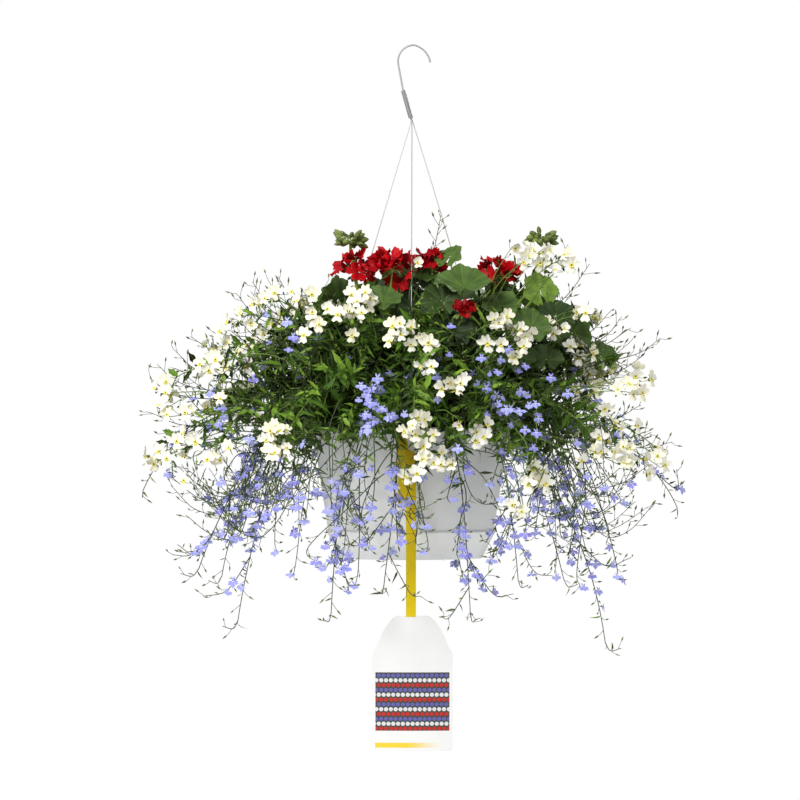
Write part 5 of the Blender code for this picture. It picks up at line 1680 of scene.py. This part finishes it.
def make_mix(rng):
    """The potting mix, lumpy on top, with white perlite in it."""
    radii = np.linspace(0.0005, MIX_RADIUS, MIX_RINGS)
    angles = math.tau * np.arange(MIX_STEPS) / MIX_STEPS
    lumps = np.zeros((MIX_RINGS, MIX_STEPS))
    for _ in range(MIX_LUMPS):
        x, y = rng.uniform(-0.14, 0.14, 2)
        size = rng.uniform(0.006, 0.016)
        away = (radii[:, None] * np.cos(angles) - x) ** 2 + (radii[:, None] * np.sin(angles) - y) ** 2
        lumps += rng.uniform(-0.0025, 0.004) * np.exp(-away / size**2)
    lumps += rng.uniform(-0.0006, 0.0006, lumps.shape)
    lumps[0] = lumps[0].mean()
    top = lathe([(radius, MIX_Z) for radius in radii], MIX_STEPS)
    top[..., 2] += lumps
    floor = POT_BASE_Z + MIX_GAP
    profile = ((SEAM_RADIUS - MIX_GAP, SEAM_Z), (POT_BASE_RADIUS - MIX_GAP, floor), (0, floor))
    whole = np.concatenate((top, lathe(profile, MIX_STEPS)))
    piece = Piece()
    form = Form().sheet(whole, whole, "potting_mix", closed=True).done()
    piece.add(form, np.eye(3), np.zeros(3), 0.5)
    bit = Form()
    cone(bit, ((-0.0010, 0.0003), (-0.0006, 0.0013), (0.0005, 0.0012), (0.0010, 0.0004)), 5, "perlite")
    bit.done()
    for _ in range(PERLITE_BITS):
        distance = MIX_RADIUS * math.sqrt(rng.uniform(0.01, 0.95))
        place = around(distance, rng.uniform(0, 360), MIX_Z + rng.uniform(0.0, 0.002))
        piece.add(bit, facing(rng.normal(0, 1, 3)), place, rng.uniform(0, 1), rng.uniform(0.5, 1.5))
    piece.finish("potting_mix_bed", "potting_mix", ("potting_mix",))


# Hanger


def make_hook():
    """The hook's bend, and its shank down into the collar."""
    centre = np.array((0, 0, HOOK_WIRE / 2 - HOOK_BEND))
    angles = np.radians(np.linspace(*HOOK_ANGLES, 48))
    reach = HOOK_BEND * (1 - HOOK_FLAT * np.sin(2 * np.minimum(angles, math.pi / 2)).clip(0))
    bend = centre + np.stack((reach * np.cos(angles), np.zeros(48), reach * np.sin(angles)), axis=1)
    shank = SLEEVE_TOP + (SLEEVE_END - SLEEVE_TOP) * 0.62
    straight = np.array([bend[-1] + (SLEEVE_TOP - bend[-1]) * share for share in (0.25, 0.5, 0.75, 1.0)])
    piece = Piece()
    piece.wire(np.concatenate((bend, straight, shank[None])), HOOK_WIRE / 2, 14, 0.4)
    piece.finish("hook_wire", "galvanised_steel", ("hook",))


def make_sleeve():
    """The collar: thin wire wound round a core."""
    axis = unit(SLEEVE_END - SLEEVE_TOP)
    side = square_to(axis)
    other = cross(axis, side)
    length = math.sqrt(((SLEEVE_END - SLEEVE_TOP) ** 2).sum())
    turns = length / (2 * COIL_WIRE * COIL_PITCH)
    count = int(turns * COIL_STEPS)
    angle = np.linspace(0, turns * math.tau, count)
    radius = SLEEVE_RADIUS - COIL_WIRE
    line = SLEEVE_TOP + axis * (np.linspace(0.02, 0.98, count) * length)[:, None]
    piece = Piece()
    piece.wire(line + radius * (np.cos(angle)[:, None] * side + np.sin(angle)[:, None] * other), COIL_WIRE, 8, 0.3)
    piece.wire(np.array([SLEEVE_TOP + axis * length * share for share in (0.06, 0.5, 0.94)]), radius, 12, 0.2)
    piece.finish("sleeve_coil", "galvanised_steel", ("sleeve",))


def wire_points(azimuth, bow):
    """From inside the sleeve straight down to the rim, through its hole and up again as a small hook."""
    axis = unit(SLEEVE_END - SLEEVE_TOP)
    out = np.array((math.cos(math.radians(azimuth)), math.sin(math.radians(azimuth)), 0))
    side = unit(out - axis * out.dot(axis))
    top = SLEEVE_END - axis * WIRE_IN_SLEEVE + side * WIRE_RING
    mouth = SLEEVE_END + side * WIRE_RING
    hole = around(WIRE_HOLE_RADIUS, azimuth, RIM_Z)
    turn = (RIM_RADIUS - WIRE_HOLE_RADIUS + WIRE / 2 + 0.001) / 2
    low = RIM_Z - RIM_SKIRT - 0.002
    drop = low - RIM_Z
    points = [top, mouth, mouth + axis * 0.003]
    start = mouth + axis * 0.005
    end = hole + UP * 0.008
    for share in (0.02, 0.15, 0.3, 0.45, 0.6, 0.75, 0.9, 0.98):
        points.append(start + (end - start) * share + out * bow * math.sin(math.pi * share))
    points += [hole + UP * 0.003, hole + UP * drop * 0.5, hole + UP * drop]
    for degrees in (25, 50, 75, 105, 130, 155):
        angle = math.radians(degrees)
        points.append(hole + out * turn * (1 - math.cos(angle)) + UP * (drop - turn * math.sin(angle)))
    points += [hole + out * 2 * turn + UP * drop, hole + out * 2 * turn + UP * (0.004 - RIM_SKIRT)]
    return np.array(points)


def make_wires():
    for azimuth, bow, tint, name in zip(WIRE_AZIMUTHS, WIRE_BOWS, WIRE_TINTS, ("front", "right", "left")):
        piece = Piece()
        piece.wire(wire_points(azimuth, bow), WIRE / 2, 10, tint)
        piece.finish(f"hanger_wire_{name}", "galvanised_steel", (f"wire_{name}",))


# Plant tag


def tag_half_width(z):
    """The white tag's half-width at a height: slanting shoulders with a small step, and rounded corners."""
    heights, widths = zip(*TAG_OUTLINE)
    return float(np.interp(z, heights, widths))


def strap_sides(z):
    """The strap's left and right edges at a height, with two barbs cut into its head."""
    if z < STRAP_HEAD_END_Z:
        return STRAP_NECK_LEFT, STRAP_RIGHT
    right = STRAP_FOLD_RIGHT if z > STRAP_HEAD_TOP_Z else STRAP_RIGHT
    if STRAP_HEAD_TOP_Z - STRAP_SLANT < z <= STRAP_HEAD_TOP_Z:
        right = STRAP_FOLD_RIGHT + (STRAP_RIGHT - STRAP_FOLD_RIGHT) * (STRAP_HEAD_TOP_Z - z) / STRAP_SLANT
    left = STRAP_LEFT
    for barb in STRAP_BARBS_Z:
        if barb - STRAP_BARB < z <= barb:
            left += STRAP_BARB * (z - barb + STRAP_BARB) / STRAP_BARB
    return left, right


def wave(x, z):
    """How far the sheet stands off its plane: straight at the rim, lightly curled at the tag."""
    hang = min(max((STRAP_HEAD_END_Z - z) / 0.30, 0), 1)
    return TAG_Y + hang * (0.004 * (x / TAG_HALF_WIDTH) ** 2 - 0.003 * math.sin(hang * 2.6))


def tag_rows():
    """The white tag, from its rounded lower corners up to its shoulders."""
    rises = (0, 0.0006, 0.0012, 0.0024)
    heights = [TAG_END_Z + rise for rise in rises] + list(np.arange(TAG_END_Z, TAG_TOP_Z - 0.0001, 0.003))[2:]
    rows = []
    for z in heights + [TAG_TOP_Z]:
        half = tag_half_width(z)
        row = [(POT_X + TAG_CENTRE + half * share, wave(half * share, z), z) for share in np.linspace(-1, 1, 25)]
        rows.append(row)
    return np.array(rows)


def strap_rows():
    """The strap, from behind the tag's top up to the rim, over it and down inside the pot."""
    top = RIM_Z + TAG_THICKNESS / 2 + STRAP_GAP
    heights = [TAG_TOP_Z - 0.002, *np.arange(TAG_TOP_Z + 0.002, STRAP_HEAD_END_Z - 0.0005, 0.004)]
    heights += [STRAP_HEAD_END_Z - 0.0003, STRAP_HEAD_END_Z + 0.0003]
    heights += list(np.arange(STRAP_HEAD_END_Z + 0.002, top, 0.002))
    line = [(wave(0, z), z, *strap_sides(z)) for z in heights]
    fold = ((TAG_Y + 0.0003, top - 0.0003), (TAG_Y + 0.0012, top), (STRAP_FOLD_Y - 0.0012, top))
    fold += ((STRAP_FOLD_Y, top - 0.0012), (STRAP_FOLD_Y, top - STRAP_FOLD_DROP))
    line += [(y, z, STRAP_LEFT, STRAP_FOLD_RIGHT) for y, z in fold]
    rows = []
    for y, z, left, right in line:
        rows.append([(POT_X + left + (right - left) * share, y, z) for share in np.linspace(0, 1, 7)])
    return np.array(rows)


def make_tag():
    """The strap folded over the rim and the white tag under it, as one thin, slightly waved sheet."""
    form = Form()
    tag = tag_rows()
    thick_sheet(form, tag, tag, TAG_THICKNESS, "tag_sheet", "tag_back")
    strap = strap_rows()
    thick_sheet(form, strap, strap, TAG_THICKNESS, "strap_plastic", "strap_plastic")
    hard_piece("hang_tag", form.done(), 35, ("plant_tag",))


# Stage


def make_camera(scene):
    lens = bpy.data.cameras.new("camera")
    lens.lens = CAMERA_LENS
    lens.clip_end = 60
    camera = bpy.data.objects.new("camera", lens)
    camera.location = (CAMERA_X, -CAMERA_DISTANCE, CAMERA_Z)
    camera.rotation_euler = (math.pi / 2, 0, 0)
    scene.collection.objects.link(camera)
    scene.camera = camera


def make_floor(scene):
    """A round pale floor under the object."""
    mesh = bpy.data.meshes.new("floor")
    angles = [math.tau * i / FLOOR_SIDES for i in range(FLOOR_SIDES)]
    ring = [(FLOOR_RADIUS * math.cos(angle), FLOOR_RADIUS * math.sin(angle), FLOOR_Z) for angle in angles]
    mesh.from_pydata(ring, [], [tuple(range(FLOOR_SIDES))])
    floor = bpy.data.objects.new("floor", mesh)
    scene.collection.objects.link(floor)
    look = Look("floor", 0.8)
    look.colour(look.mix(look.noise(3, 2), srgb(240, 240, 239), srgb(246, 246, 245)))
    mesh.materials.append(LOOKS["floor"])


def make_world(scene):
    """White light from all round, weaker on the object than as the camera sees it."""
    world = bpy.data.worlds.new("studio")
    scene.world = world
    world.use_nodes = True
    tree = world.node_tree
    light_path = tree.nodes.new("ShaderNodeLightPath")
    background = tree.nodes["Background"]
    background.inputs["Color"].default_value = (1, 1, 1, 1)
    strength = tree.nodes.new("ShaderNodeMapRange")
    strength.inputs["To Min"].default_value = WORLD_LIGHT
    strength.inputs["To Max"].default_value = WORLD_SEEN
    tree.links.new(light_path.outputs["Is Camera Ray"], strength.inputs["Value"])
    tree.links.new(strength.outputs[0], background.inputs["Strength"])


def make_lamps(scene):
    for name, (place, power) in LAMPS.items():
        light = bpy.data.lights.new(name, "AREA")
        light.shape = "DISK"
        light.size = LAMP_SIZE
        light.energy = power
        lamp = bpy.data.objects.new(name, light)
        lamp.location = place
        lamp.rotation_euler = (Vector(LAMP_AIM) - Vector(place)).to_track_quat("-Z", "Y").to_euler()
        scene.collection.objects.link(lamp)


def make_stage():
    scene = bpy.context.scene
    scene.view_settings.view_transform = "Standard"
    make_camera(scene)
    make_floor(scene)
    make_world(scene)
    make_lamps(scene)


def main():
    make_stage()
    make_hook()
    make_sleeve()
    make_wires()
    make_pot()
    make_saucer()
    make_mix(random_source(2))
    make_tag()
    roots = []
    make_geraniums(roots, random_source(3))
    make_nemesias(roots, random_source(4))
    make_lobelias(roots, random_source(5))
    make_mound(random_source(6))


make_looks()
FORMS = make_forms(random_source(1))
main()
